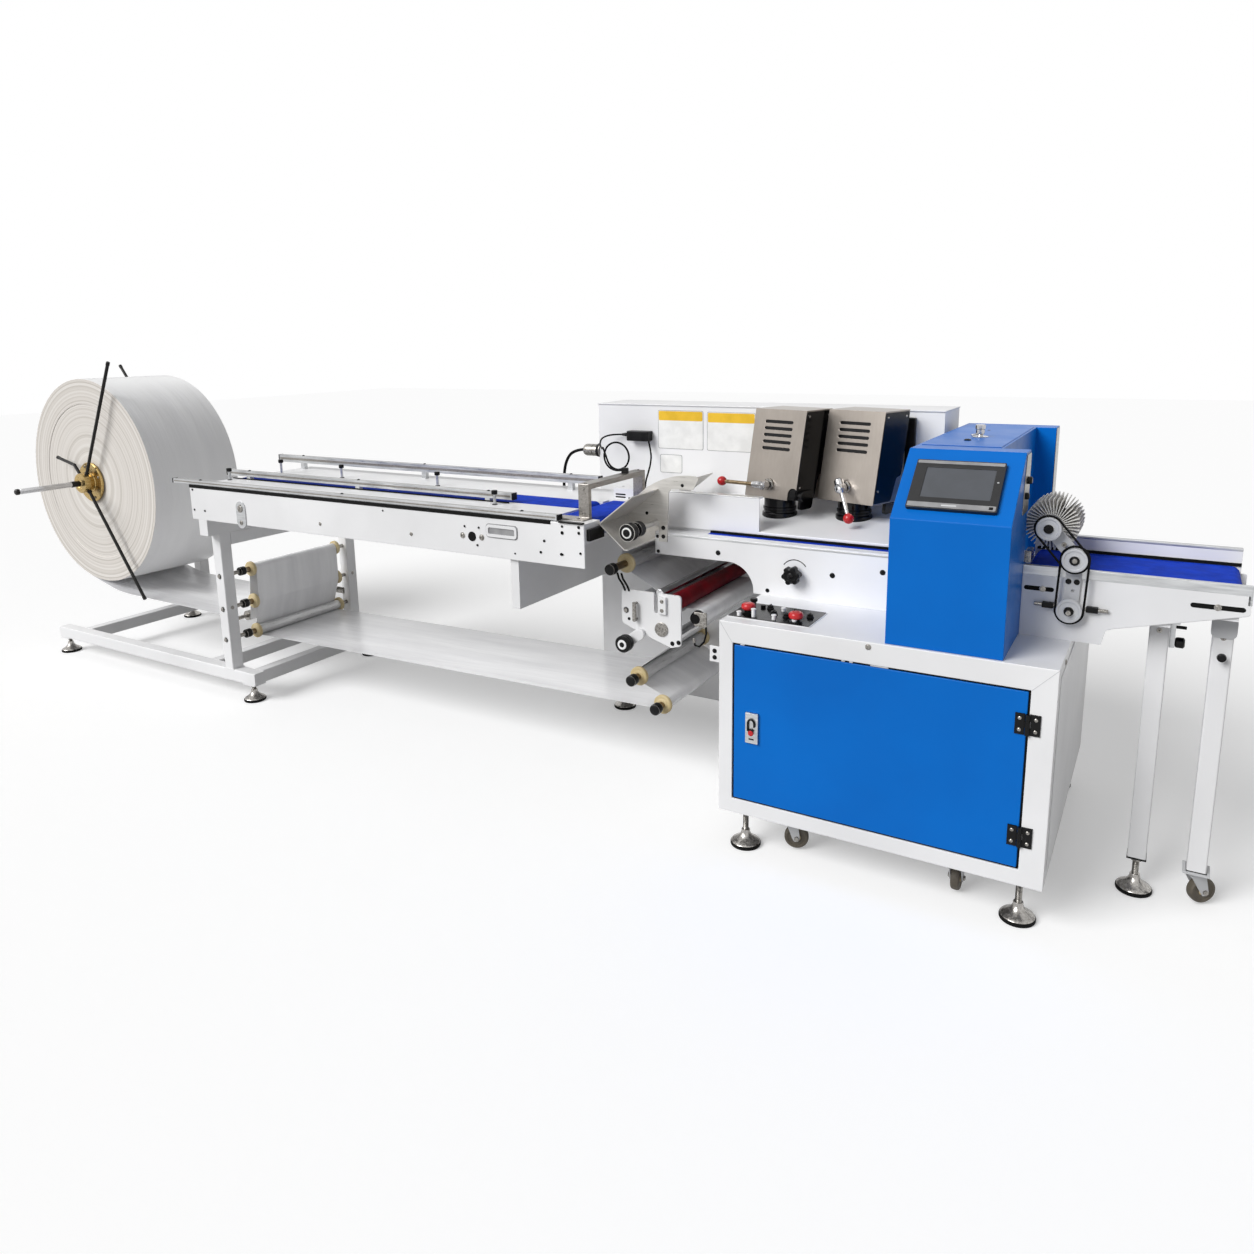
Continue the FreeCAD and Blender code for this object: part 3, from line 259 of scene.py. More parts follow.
def cutBy(piece, cutter):
    modifier = piece.modifiers.new("cut", "BOOLEAN")
    modifier.operation = "DIFFERENCE"
    modifier.solver = "EXACT"
    modifier.object = cutter
    grab(piece)
    bpy.ops.object.modifier_apply(modifier="cut")
    bpy.data.objects.remove(cutter)
    return piece


def boltHead(at, along, radius=5, tall=3.5, washer=True):
    profile = [(radius * 0.45, tall - radius * 0.45), (radius * 0.5, tall), (radius * 0.85, tall),
               (radius, tall * 0.8), (radius, 0)]
    head = turnedPiece(profile[::-1], at, along, 24)
    if not washer:
        return head
    ring = turnedPiece([(radius * 1.5, 0), (radius * 1.5, 0.9), (radius * 1.4, 1.2), (radius, 1.2)], at,
                       along, 28)
    return joined([head, ring])


def hexHead(at, along, radius=7, tall=5):
    head = turnedPiece([(radius, 0), (radius, tall - 0.8), (radius - 0.8, tall)], at, along, 6)
    ring = turnedPiece([(radius * 1.45, -1.2), (radius * 1.45, -0.2), (radius * 1.35, 0), (radius, 0)],
                       at, along, 28)
    return joined([head, ring])


def finishPiece(pieces, name, body="frame", finish=None, smooth=35):
    piece = joined(pieces) if isinstance(pieces, list) else pieces
    grab(piece)
    bpy.ops.object.transform_apply(location=True, rotation=True, scale=True)
    bpy.ops.object.shade_smooth_by_angle(angle=math.radians(smooth))
    withModifier(piece, "WEIGHTED_NORMAL", keep_sharp=True)
    piece.name = name
    piece.data.name = name
    if finish:
        coloured(piece, finish)
    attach(piece, body)
    return piece


# camera, floor and lamps

camera = {
    "place": (2.27480, -2.55690, 1.38211),
    "azimuth": -30.652,
    "down": 11.478,
    "roll": -0.955,
    "lens": 26.74,
    "shift": (0.0, -0.0775),
}

studio = {
    "floorSize": 40.0,
    "floorTone": 0.8,
    "floorBounce": 0.4,
    "floorGlow": 0.29,
    "ambient": 0.3,
    "sunFrom": (-0.42, -0.72, 0.6),
    "sunPower": 2.9,
    "sunSpread": 35,
    "fillFrom": (0.75, -0.5, 0.45),
    "fillPower": 0.05,
}


def addCamera():
    turn, tilt, roll = (math.radians(camera[key]) for key in ("azimuth", "down", "roll"))
    ahead = Vector((math.sin(turn) * math.cos(tilt), math.cos(turn) * math.cos(tilt), -math.sin(tilt)))
    right = Vector((math.cos(turn), -math.sin(turn), 0))
    up = right.cross(ahead)
    side = right * math.cos(roll) + up * math.sin(roll)
    top = up * math.cos(roll) - right * math.sin(roll)
    bpy.ops.object.camera_add(location=camera["place"])
    eye = bpy.context.object
    eye.rotation_euler = Matrix((side, top, -ahead)).transposed().to_euler()
    eye.data.sensor_width = 36
    eye.data.lens = camera["lens"]
    eye.data.shift_x, eye.data.shift_y = camera["shift"]
    eye.data.clip_end = 60
    bpy.context.scene.camera = eye


def seenRays(tree):
    path = tree.nodes.new("ShaderNodeLightPath")
    first = tree.nodes.new("ShaderNodeMath")
    first.operation = "MAXIMUM"
    tree.links.new(path.outputs["Is Camera Ray"], first.inputs[0])
    tree.links.new(path.outputs["Is Glossy Ray"], first.inputs[1])
    second = tree.nodes.new("ShaderNodeMath")
    second.operation = "MAXIMUM"
    tree.links.new(first.outputs[0], second.inputs[0])
    tree.links.new(path.outputs["Is Transmission Ray"], second.inputs[1])
    return second.outputs[0]


def addStudio():
    deselect()
    bpy.ops.mesh.primitive_plane_add(size=studio["floorSize"], location=(0, 0, 0))
    floor = bpy.context.object
    floor.name = "studioFloor"
    look = bpy.data.materials.new("studioFloor")
    look.use_nodes = True
    tree = look.node_tree
    tree.nodes.clear()
    matte = tree.nodes.new("ShaderNodeBsdfDiffuse")
    tone = tree.nodes.new("ShaderNodeMapRange")
    tone.inputs["To Min"].default_value = studio["floorBounce"]
    tone.inputs["To Max"].default_value = studio["floorTone"]
    tree.links.new(seenRays(tree), tone.inputs["Value"])
    tree.links.new(tone.outputs["Result"], matte.inputs["Color"])
    glow = tree.nodes.new("ShaderNodeEmission")
    scale = tree.nodes.new("ShaderNodeMath")
    scale.operation = "MULTIPLY"
    scale.inputs[1].default_value = studio["floorGlow"]
    tree.links.new(seenRays(tree), scale.inputs[0])
    tree.links.new(scale.outputs[0], glow.inputs["Strength"])
    both = tree.nodes.new("ShaderNodeAddShader")
    tree.links.new(matte.outputs[0], both.inputs[0])
    tree.links.new(glow.outputs[0], both.inputs[1])
    out = tree.nodes.new("ShaderNodeOutputMaterial")
    tree.links.new(both.outputs[0], out.inputs["Surface"])
    floor.data.materials.append(look)

    world = bpy.data.worlds.new("studioWorld")
    world.use_nodes = True
    bpy.context.scene.world = world
    tree = world.node_tree
    back = tree.nodes["Background"]
    back.inputs["Color"].default_value = (1, 1, 1, 1)
    level = tree.nodes.new("ShaderNodeMapRange")
    level.inputs["To Min"].default_value = studio["ambient"]
    level.inputs["To Max"].default_value = 1.0
    tree.links.new(seenRays(tree), level.inputs["Value"])
    tree.links.new(level.outputs["Result"], back.inputs["Strength"])

    for name, source, power, spread in (("keySun", "sunFrom", "sunPower", studio["sunSpread"]),
                                        ("fillSun", "fillFrom", "fillPower", 60)):
        bpy.ops.object.light_add(type="SUN")
        lamp = bpy.context.object
        lamp.name = name
        lamp.data.energy = studio[power]
        lamp.data.angle = math.radians(spread)
        lamp.rotation_euler = Vector(studio[source]).to_track_quat("Z", "Y").to_euler()


addCamera()
addStudio()
bpy.context.scene.view_settings.view_transform = "Standard"
print("camera and studio set")


# finishes

def rgb(code):
    parts = [int(code[k:k + 2], 16) / 255 for k in (0, 2, 4)]
    return tuple(p / 12.92 if p <= 0.04045 else ((p + 0.055) / 1.055) ** 2.4 for p in parts) + (1.0,)


def startFinish(name, roughness=0.4, metallic=0.0, coat=0.0, coatRoughness=0.05, sheen=0.0):
    finish = bpy.data.materials.new(name)
    finish.use_nodes = True
    tree = finish.node_tree
    shader = tree.nodes["Principled BSDF"]
    shader.inputs["Roughness"].default_value = roughness
    shader.inputs["Metallic"].default_value = metallic
    shader.inputs["Coat Weight"].default_value = coat
    shader.inputs["Coat Roughness"].default_value = coatRoughness
    shader.inputs["Sheen Weight"].default_value = sheen
    return finish, tree, shader


def grain(tree, scale, detail=3.0, stretch=(1, 1, 1), rough=0.5):
    place = tree.nodes.new("ShaderNodeTexCoord")
    mapping = tree.nodes.new("ShaderNodeMapping")
    mapping.inputs["Scale"].default_value = stretch
    tree.links.new(place.outputs["Object"], mapping.inputs["Vector"])
    noise = tree.nodes.new("ShaderNodeTexNoise")
    noise.inputs["Scale"].default_value = scale
    noise.inputs["Detail"].default_value = detail
    noise.inputs["Roughness"].default_value = rough
    tree.links.new(mapping.outputs["Vector"], noise.inputs["Vector"])
    return noise.outputs["Fac"]


def ramp(tree, value, stops):
    made = tree.nodes.new("ShaderNodeValToRGB")
    points = made.color_ramp.elements
    points[0].position, points[0].color = stops[0][0], stops[0][1]
    points[1].position, points[1].color = stops[-1][0], stops[-1][1]
    for at, colour in stops[1:-1]:
        points.new(at).color = colour
    tree.links.new(value, made.inputs["Fac"])
    return made.outputs["Color"]


def between(tree, value, low, high, fromLow=0.0, fromHigh=1.0):
    made = tree.nodes.new("ShaderNodeMapRange")
    made.inputs["From Min"].default_value = fromLow
    made.inputs["From Max"].default_value = fromHigh
    made.inputs["To Min"].default_value = low
    made.inputs["To Max"].default_value = high
    tree.links.new(value, made.inputs["Value"])
    return made.outputs["Result"]


def mixed(tree, factor, first, second, mode="MIX"):
    made = tree.nodes.new("ShaderNodeMix")
    made.data_type = "RGBA"
    made.blend_type = mode
    for socket, value in ((0, factor), (6, first), (7, second)):
        if hasattr(value, "is_output"):
            tree.links.new(value, made.inputs[socket])
        else:
            made.inputs[socket].default_value = value
    return made.outputs[2]


def relief(tree, shader, height, strength, distance=0.001):
    bump = tree.nodes.new("ShaderNodeBump")
    bump.inputs["Strength"].default_value = strength
    bump.inputs["Distance"].default_value = distance
    tree.links.new(height, bump.inputs["Height"])
    tree.links.new(bump.outputs["Normal"], shader.inputs["Normal"])


def paintFinish(name, colour, worn, roughness=0.38, peel=0.12, coat=0.15, shine=0.5):
    finish, tree, shader = startFinish(name, roughness, coat=coat, coatRoughness=0.25)
    shader.inputs["Specular IOR Level"].default_value = shine
    clouds = ramp(tree, grain(tree, 2.2, 4), [(0.35, worn), (0.62, colour)])
    scuffs = between(tree, grain(tree, 70, 6, stretch=(1, 1, 0.35), rough=0.75), 0, 0.5, 0.62, 0.80)
    tree.links.new(mixed(tree, scuffs, clouds, worn), shader.inputs["Base Color"])
    tree.links.new(between(tree, grain(tree, 12, 5), roughness - 0.08, roughness + 0.10),
                   shader.inputs["Roughness"])
    relief(tree, shader, grain(tree, 650, 2), peel, 0.0004)
    return finish


def brushedFinish(name, dark, light, stretch, roughness=0.32, metallic=1.0, depth=0.25, spread=0.11):
    finish, tree, shader = startFinish(name, roughness, metallic)
    lines = grain(tree, 30, 4, stretch=stretch, rough=0.65)
    clouds = grain(tree, 6, 3)
    colour = ramp(tree, lines, [(0.3, dark), (0.7, light)])
    shade = ramp(tree, clouds, [(0.3, (0.82, 0.82, 0.82, 1)), (0.7, (1, 1, 1, 1))])
    tree.links.new(mixed(tree, 1.0, colour, shade, "MULTIPLY"), shader.inputs["Base Color"])
    tree.links.new(between(tree, lines, roughness - spread, roughness + spread, 0.3, 0.7),
                   shader.inputs["Roughness"])
    relief(tree, shader, lines, depth, 0.0003)
    return finish


def mouldedFinish(name, colour, shade, roughness=0.5, scale=900, depth=0.3, metallic=0.0, shine=0.5):
    finish, tree, shader = startFinish(name, roughness, metallic)
    shader.inputs["Specular IOR Level"].default_value = shine
    tone = ramp(tree, grain(tree, 25, 4), [(0.35, shade), (0.65, colour)])
    tree.links.new(tone, shader.inputs["Base Color"])
    fine = grain(tree, scale, 2)
    tree.links.new(between(tree, grain(tree, 60, 4), roughness - 0.1, roughness + 0.12),
                   shader.inputs["Roughness"])
    relief(tree, shader, fine, depth, 0.0003)
    return finish


def filmFinish(name, dark, light, sheen=0.0):
    finish, tree, shader = startFinish(name, 0.26, coat=0.3, coatRoughness=0.15, sheen=sheen)
    folds = grain(tree, 5, 4, stretch=(0.35, 2.6, 0.35))
    tree.links.new(ramp(tree, folds, [(0.3, dark), (0.7, light)]), shader.inputs["Base Color"])
    relief(tree, shader, folds, 0.55, 0.012)
    return finish


def rollEndFinish():
    finish, tree, shader = startFinish("rollEnds", 0.55)
    place = tree.nodes.new("ShaderNodeTexCoord")
    mapping = tree.nodes.new("ShaderNodeMapping")
    mapping.inputs["Location"].default_value = -spot(rollX, 0, rollZ)
    mapping.inputs["Scale"].default_value = (1, 0, 1)
    tree.links.new(place.outputs["Object"], mapping.inputs["Vector"])
    length = tree.nodes.new("ShaderNodeVectorMath")
    length.operation = "LENGTH"
    tree.links.new(mapping.outputs["Vector"], length.inputs[0])
    rings = tree.nodes.new("ShaderNodeTexNoise")
    rings.noise_dimensions = "1D"
    rings.inputs["Scale"].default_value = 120
    rings.inputs["Detail"].default_value = 6
    rings.inputs["Roughness"].default_value = 0.75
    tree.links.new(length.outputs["Value"], rings.inputs["W"])
    tone = ramp(tree, rings.outputs["Fac"],
                [(0.3, rgb("c4c0b9")), (0.5, rgb("e6e3df")), (0.7, rgb("f4f3f1"))])
    reach = between(tree, length.outputs["Value"], 0, 1, 0, 0.5)
    band = ramp(tree, reach, [(0.0, rgb("f0ece6")), (0.69, rgb("f3f0ec")), (0.705, rgb("cfcac2")),
                              (0.72, rgb("f8f6f3")), (1.0, rgb("f2efec"))])
    tree.links.new(mixed(tree, 1.0, tone, band, "MULTIPLY"), shader.inputs["Base Color"])
    relief(tree, shader, rings.outputs["Fac"], 0.5, 0.0015)
    return finish


paints = {
    "whitePaint": ("efeff0", "e2e2e3", {}),
    "greyPaint": ("cfd0d2", "bcbdbf", {}),
    "bluePaint": ("006cc8", "0064bd", {"roughness": 0.34, "coat": 0.0, "shine": 0.16}),
}
metals = {
    "brushedSteel": ("a39b93", "a8a098", {"stretch": (5, 5, 0.3), "roughness": 0.3, "metallic": 0.9,
                                          "depth": 0.0, "spread": 0.015}),
    "formerSteel": ("c6c3bd", "dbd8d3", {"stretch": (0.4, 6, 6), "roughness": 0.38, "metallic": 0.5,
                                         "depth": 0.08}),
    "turnedSteel": ("77746f", "b1aea9", {"stretch": (5, 0.6, 5), "roughness": 0.28}),
    "chrome": ("b9b9bb", "dededf", {"stretch": (5, 0.6, 5), "roughness": 0.14, "depth": 0.05}),
    "aluminium": ("b7b9bb", "d8d9da", {"stretch": (0.4, 6, 6), "roughness": 0.36}),
    "brass": ("a98a4e", "d7bd84", {"stretch": (5, 0.6, 5), "roughness": 0.3}),
    "footSteel": ("8f8b86", "c9c6c2", {"stretch": (5, 5, 2), "roughness": 0.26}),
    "rollerTube": ("c3c3c3", "e2e2e2", {"stretch": (5, 0.6, 5), "roughness": 0.35, "metallic": 0.25,
                                        "depth": 0.1}),
    "bronze": ("6f5f48", "9c8b70", {"stretch": (5, 0.6, 5), "roughness": 0.35}),
    "archSteel": ("86827d", "a5a19c", {"stretch": (6, 0.5, 6), "roughness": 0.36, "depth": 0.08}),
}
plastics = {
    "blackPlastic": ("0a0a0b", "060607", {"roughness": 0.34, "shine": 0.2}),
    "blackRubber": ("0d0d0d", "090909", {"roughness": 0.7, "scale": 500, "depth": 0.4, "shine": 0.12}),
    "blackRod": ("1d1c1b", "121110", {"roughness": 0.32, "scale": 700, "depth": 0.2, "metallic": 0.6}),
    "creamPlastic": ("d8c79d", "c6b284", {"roughness": 0.5}),
    "redPlastic": ("c8161d", "ab1016", {"roughness": 0.25, "scale": 400, "depth": 0.1}),
    "redRubber": ("780414", "600310", {"roughness": 0.45, "scale": 600, "depth": 0.15, "shine": 0.14}),
    "blueBelt": ("1240c4", "0e36ac", {"roughness": 0.75, "scale": 1400, "depth": 0.4, "shine": 0.12}),
    "bristle": ("e9e7e3", "d8d6d2", {"roughness": 0.6, "scale": 1200, "depth": 0.3}),
    "screenBlack": ("151517", "0e0e10", {"roughness": 0.35, "scale": 1500, "depth": 0.1}),
    "blackGloss": ("08080a", "040405", {"roughness": 0.2, "scale": 300, "depth": 0.03, "shine": 0.3}),
    "greyPlastic": ("9b9b9c", "868688", {"roughness": 0.4, "scale": 900, "depth": 0.12}),
    "displayGrey": ("484b51", "44474c", {"roughness": 0.45, "scale": 2000, "depth": 0.02}),
    "platePale": ("f2f2f0", "e6e6e4", {"roughness": 0.4, "scale": 700, "depth": 0.08}),
    "treadBrown": ("5d564a", "49433a", {"roughness": 0.6, "scale": 700, "depth": 0.3}),
    "yellowPaint": ("eec02a", "e2b41e", {"roughness": 0.4, "scale": 700, "depth": 0.1}),
}
finishes = {
    "film": filmFinish("wrapFilm", rgb("e0e0e2"), rgb("f6f6f7")),
    "rollEnds": rollEndFinish(),
    # the roll's rim uses a lighter copy of the wrap film: painted light that brightens the rim where it faces
    # away from the key lamp
    "rollRimPaintedLight": filmFinish("rollRimPaintedLight", rgb("f4f4f5"), rgb("fdfdfd"), sheen=1.0),
}
for maker, table in ((paintFinish, paints), (brushedFinish, metals), (mouldedFinish, plastics)):
    for name, (first, second, settings) in table.items():
        finishes[name] = maker(name, rgb(first), rgb(second), **settings)
print("finishes:", len(finishes))

# CAD nodes whose shape is right keep their mesh
nodeFinishes = {
    "whitePaint": ["unwind_long_rails", "unwind_cross_rails", "unwind_uprights", "base_cabinet",
                   "rear_housing", "bed_front_plate", "bed_body", "bed_deck", "infeed_side_plates",
                   "infeed_deck", "infeed_bearers", "feed_frame", "outfeed_sides", "outfeed_legs"],
    "greyPaint": ["caster_plates"],
    "archSteel": ["sensor_arch"],
    "bluePaint": ["cabinet_door", "crimper_front_cover", "crimper_rear_cover"],
    "brushedSteel": ["seal_heads"],
    "formerSteel": ["forming_box", "forming_wing"],
    "turnedSteel": ["levelling_feet", "roller_axles", "brush_arm"],
    "chrome": ["seal_lever_one", "seal_lever_two"],
    "aluminium": ["infeed_guides"],
    "brass": ["roll_shaft"],
    "blackPlastic": ["lead_fittings", "door_fittings", "frame_hinge_leaves", "control_panel", "star_knob"],
    "screenBlack": ["operator_screen"],
    "redRubber": ["feed_rollers"],
    "blueBelt": ["conveyor_belts"],
    "film": ["film_web"],
    "rollEnds": ["film_roll"],
    "bristle": ["brush"],
    "blackRubber": ["brush_drive", "sensor_lead", "gauge_lead", "supply_lead"],
}


def dressNodes():
    for finish, names in nodeFinishes.items():
        for name in names:
            dressNode(name, finish)
    for name in nodes:
        if name.endswith("_roller"):
            dressNode(name, "aluminium")
        if name.endswith("_caster_fork"):
            dressNode(name, "greyPaint")
        if name.endswith("_caster_wheel"):
            dressNode(name, "creamPlastic")


def dressNode(name, finish):
    mesh = nodes[name].data
    mesh.materials.clear()
    mesh.materials.append(finishes[finish])


dressNodes()
print("CAD nodes dressed")

# film roll on its shaft

filmRoll = {
    "radius": 465, "front": 250, "back": 670, "sides": 160,
    "rings": [(9, 0.6), (30, -0.5), (72, 1.1), (2, 2.4), (40, -0.8), (95, 0.7), (110, -0.5), (40, 0.6)],
    "rodRadius": 6.9, "frontReach": 610, "backReach": 650,
}


def makeFilmRoll():
    size = filmRoll
    deselect()
    width = (size["back"] - size["front"]) / 1000
    bpy.ops.mesh.primitive_cylinder_add(vertices=size["sides"], radius=size["radius"] / 1000,
                                        depth=width,
                                        location=spot(rollX, (size["front"] + size["back"]) / 2, rollZ),
                                        rotation=(math.radians(90), 0, 0))
    roll = bpy.context.object
    bpy.ops.object.transform_apply(location=True, rotation=True, scale=True)
    ends = [face.index for face in roll.data.polygons if abs(face.normal.y) > 0.9]
    for end in ends:
        grab(roll)
        bpy.ops.object.mode_set(mode="EDIT")
        bpy.ops.mesh.select_all(action="DESELECT")
        bpy.ops.object.mode_set(mode="OBJECT")
        roll.data.polygons[end].select = True
        bpy.ops.object.mode_set(mode="EDIT")
        for wide, deep in size["rings"]:
            bpy.ops.mesh.inset(thickness=wide / 1000, depth=-deep / 1000)
        bpy.ops.object.mode_set(mode="OBJECT")
    bores = [face.index for face in roll.data.polygons
             if abs(face.normal.y) > 0.9 and len(face.vertices) == size["sides"]]
    bpy.ops.object.mode_set(mode="EDIT")
    bpy.ops.mesh.select_all(action="DESELECT")
    bpy.ops.object.mode_set(mode="OBJECT")
    for face in bores:
        roll.data.polygons[face].select = True
    bpy.ops.object.mode_set(mode="EDIT")
    bpy.ops.mesh.bridge_edge_loops()
    bpy.ops.object.mode_set(mode="OBJECT")
    softEdges(roll, 2.0, 3, 60)
    roll.data.materials.append(finishes["rollRimPaintedLight"])
    roll.data.materials.append(finishes["rollEnds"])
    for face in roll.data.polygons:
        face.material_index = 1 if abs(face.normal.y) > 0.6 else 0
    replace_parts(finishPiece(roll, "filmRoll", "film_roll", smooth=25), "film_roll")


def makeRollShaft():
    size = filmRoll
    at = (rollX, size["front"], rollZ)
    front = turnedPiece([(88, 0), (90, 2), (90, 9), (87, 12), (60, 12), (57, 10), (42, 10), (40, 13),
                         (37, 14), (37, 29), (43, 29), (45, 31), (45, 55), (43, 58), (24, 58), (22, 56),
                         (16, 56)], at, frontFace, 64)
    back = turnedPiece([(88, 0), (90, 2), (90, 9), (87, 12), (45, 12), (45, 36), (43, 38), (16, 38)],
                       (rollX, size["back"], rollZ), backFace, 64)
    screws = []
    for turn in (20, 110, 200, 290):
        angle = math.radians(turn)
        screws.append(turnedPiece([(6, 0), (6, 4), (5, 5), (3, 5),
                                   (2.8, 2)], (rollX + 74 * math.cos(angle), size["front"] - 11,
                                               rollZ + 74 * math.sin(angle)), frontFace, 16))
    screws = coloured(screws, "turnedSteel")
    hubs = coloured([front, back], "brass")
    finishPiece([hubs, screws], "rollHubs", "film_roll")

    shaft = turnedPiece([(10, 0), (12, 2), (12, 6), (11, 7), (11, 10), (12, 11), (12, 850), (10.5, 853),
                         (10.5, 864), (9.5, 865)], (rollX, -75, rollZ), backFace, 40)
    bands = joined([turnedPiece([(13, 0), (13.6, 1), (13.6, 37), (13, 38)], (rollX, 152, rollZ),
                                backFace, 32),
                    turnedPiece([(9, 0), (12.6, 3), (13, 7), (13, 14), (12.2, 15)], (rollX, -85, rollZ),
                                backFace, 32)])
    shaft = joined([coloured(shaft, "chrome"), coloured(bands, "blackRod")])
    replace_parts(finishPiece(shaft, "rollShaft", "film_roll"), "roll_shaft")

    rods = []
    frontY, backY = size["front"] - 35, size["back"] + 25
    for angle, reach, y in ((61.2, size["frontReach"], frontY), (-54.9, size["frontReach"], frontY),
                            (128.6, size["backReach"], backY), (248.6, size["backReach"], backY)):
        turn = math.radians(angle)
        aim = Vector((math.cos(turn), 0, math.sin(turn)))
        root = Vector((rollX, y, rollZ))
        rods.append(rodPiece(root + aim * 40, root + aim * reach, size["rodRadius"], 20))
        rods.append(turnedPiece([(6.5, 0), (8, 1.5), (8, 15), (6.5, 17)], root + aim * (reach - 11), aim,
                                20))
        rods.append(turnedPiece([(9, 0), (10, 1), (10, 14), (8, 16)], root + aim * 38, aim, 20))
    for y, side in ((frontY, 1), (backY, -1)):
        elbow = (rollX - side * 66, y, rollZ + 78)
        end = (rollX - side * 192, y, rollZ + 106)
        start = (rollX - side * 30, y, rollZ + 36)
        rods.append(rodPiece(start, elbow, size["rodRadius"], 20, 0.2))
        rods.append(rodPiece(elbow, end, size["rodRadius"], 20, 0.2))
        rods.append(turnedPiece([(2, -6), (4.5, -4.5), (6, -1), (6, 1), (4.5, 4.5), (2, 6)], elbow,
                                backFace, 20))
        rods.append(turnedPiece([(6.5, -8), (8, -6), (8, 5), (6, 8)], end, Vector(end) - Vector(elbow), 20))
    finishPiece(rods, "clampRods", "film_roll", "blackRod")


makeFilmRoll()
makeRollShaft()
print("film roll made")


# levelling feet

foot = {"radius": 42, "stem": 8, "nut": 13}
feetPlaces = [(-3387, 120, 70), (-3387, 750, 70), (-2088, 120, 70), (-2088, 750, 70), (56, 60, 120),
              (56, 848, 120), (764, 60, 120), (764, 848, 120), (-747, 758, 120), (-747, 858, 120),
              (1000, 330, 95)]


def makeFeet():
    r, stem = foot["radius"], foot["stem"]
    pads, domes, stems, nuts = [], [], [], []
    for x, y, top in feetPlaces:
        at = (x, y, 0)
        pads.append(turnedPiece([(r - 3, 0), (r - 1, 1), (r, 3), (r, 8), (r - 1, 10), (r - 4, 10)], at,
                                topFace, 48))
        domes.append(turnedPiece([(r - 3, 9.5), (r - 2, 11), (r - 3, 13), (r * 0.8, 16.5),
                                  (r * 0.6, 21.5), (r * 0.42, 28), (r * 0.33, 34), (13, 37), (12, 38.5),
                                  (12, 44), (11, 46), (stem + 0.5, 46)], at, topFace, 48))
        thread = [(stem - 0.8, 44)]
        height = 45.0
        while height < top - 1:
            thread += [(stem - 0.1, height + 0.8), (stem - 0.9, height + 1.7)]
            height += 1.75
        stems.append(turnedPiece(thread + [(stem - 0.9, top)], at, topFace, 20))
        nuts.append(turnedPiece([(foot["nut"] - 1, top - 13), (foot["nut"], top - 12),
                                 (foot["nut"], top - 3), (foot["nut"] - 1, top - 2), (15, top - 2),
                                 (15, top)], at, topFace, 6))
    parts = [coloured(group, finish)
             for group, finish in ((pads, "blackRubber"), (domes, "footSteel"), (stems, "turnedSteel"),
                                   (nuts, "turnedSteel"))]
    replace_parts(finishPiece(parts, "levellingFeet"), "levelling_feet")


makeFeet()
print("feet made")


# film rollers: white tube between two cream flanges

roller = {"tube": 20, "flange": 30, "front": 232, "back": 688, "knob": 17.5, "knobReach": 47}
rollerPlaces = {
    "stand_top_roller": (-2197, 500, 0), "stand_middle_roller": (-2197, 366, 0),
    "stand_bottom_roller": (-2197, 240, 0), "lower_guide_roller": (-300, 280, 0),
    "upper_guide_roller": (-383, 358, 0), "crease_roller": (-423, 715, 45),
}


def makeRollers():
    size = roller
    f, t = size["flange"], size["tube"]
    for name, (x, z, lead) in rollerPlaces.items():
        tube = turnedPiece([(10, 12), (t, 14), (t, 442), (10, 444)], (x, size["front"], z), backFace, 48)
        flanges = []
        for y, way in ((size["front"], 1), (size["back"], -1)):
            flanges.append(turnedPiece([(9, 0), (17, 0), (19, 1.5), (f - 2.5, 1.5), (f, 4), (f, 12.5),
                                        (f - 3, 16), (t + 0.4, 16)], (x, y, z), (0, way, 0), 48))
            flanges.append(turnedPiece([(2.5, 0), (2.5, 1.2), (1.2, 1.2), (1, 0.4)],
                                       (x, y + way * 8, z + f - 0.6), topFace, 12))
        piece = joined([coloured(tube, "rollerTube"), coloured(flanges, "creamPlastic")])
        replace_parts(finishPiece(piece, name + "_shell", name), name)
    knobs, sleeves = [], []
    for x, z, lead in rollerPlaces.values():
        y = size["front"] - size["knobReach"] - lead
        k = size["knob"]
        knobs.append(turnedPiece([(7, -2.6), (k - 4, -2), (k - 1, 0), (k, 3), (k, 21), (k - 1.5, 24.3),
                                  (11.4, 24.4)], (x, y, z), backFace, 40))
        sleeves.append(turnedPiece([(11.3, 24), (11.6, 25), (11.6, 44 + lead), (11.2, 45.4 + lead)],
                                   (x, y, z), backFace, 32))
    finishPiece(knobs, "axleKnobs", finish="blackPlastic")
    finishPiece(sleeves, "axleSleeves", finish="bronze")


makeRollers()
print("rollers made")


# door latch and hinges

doorParts = {
    "latch": (80, 115, 334.5, 418.5), "button": (97.5, 368.5),
    "hinges": [221, 496], "hingeX": 762.5, "leaf": 27, "height": 50,
}


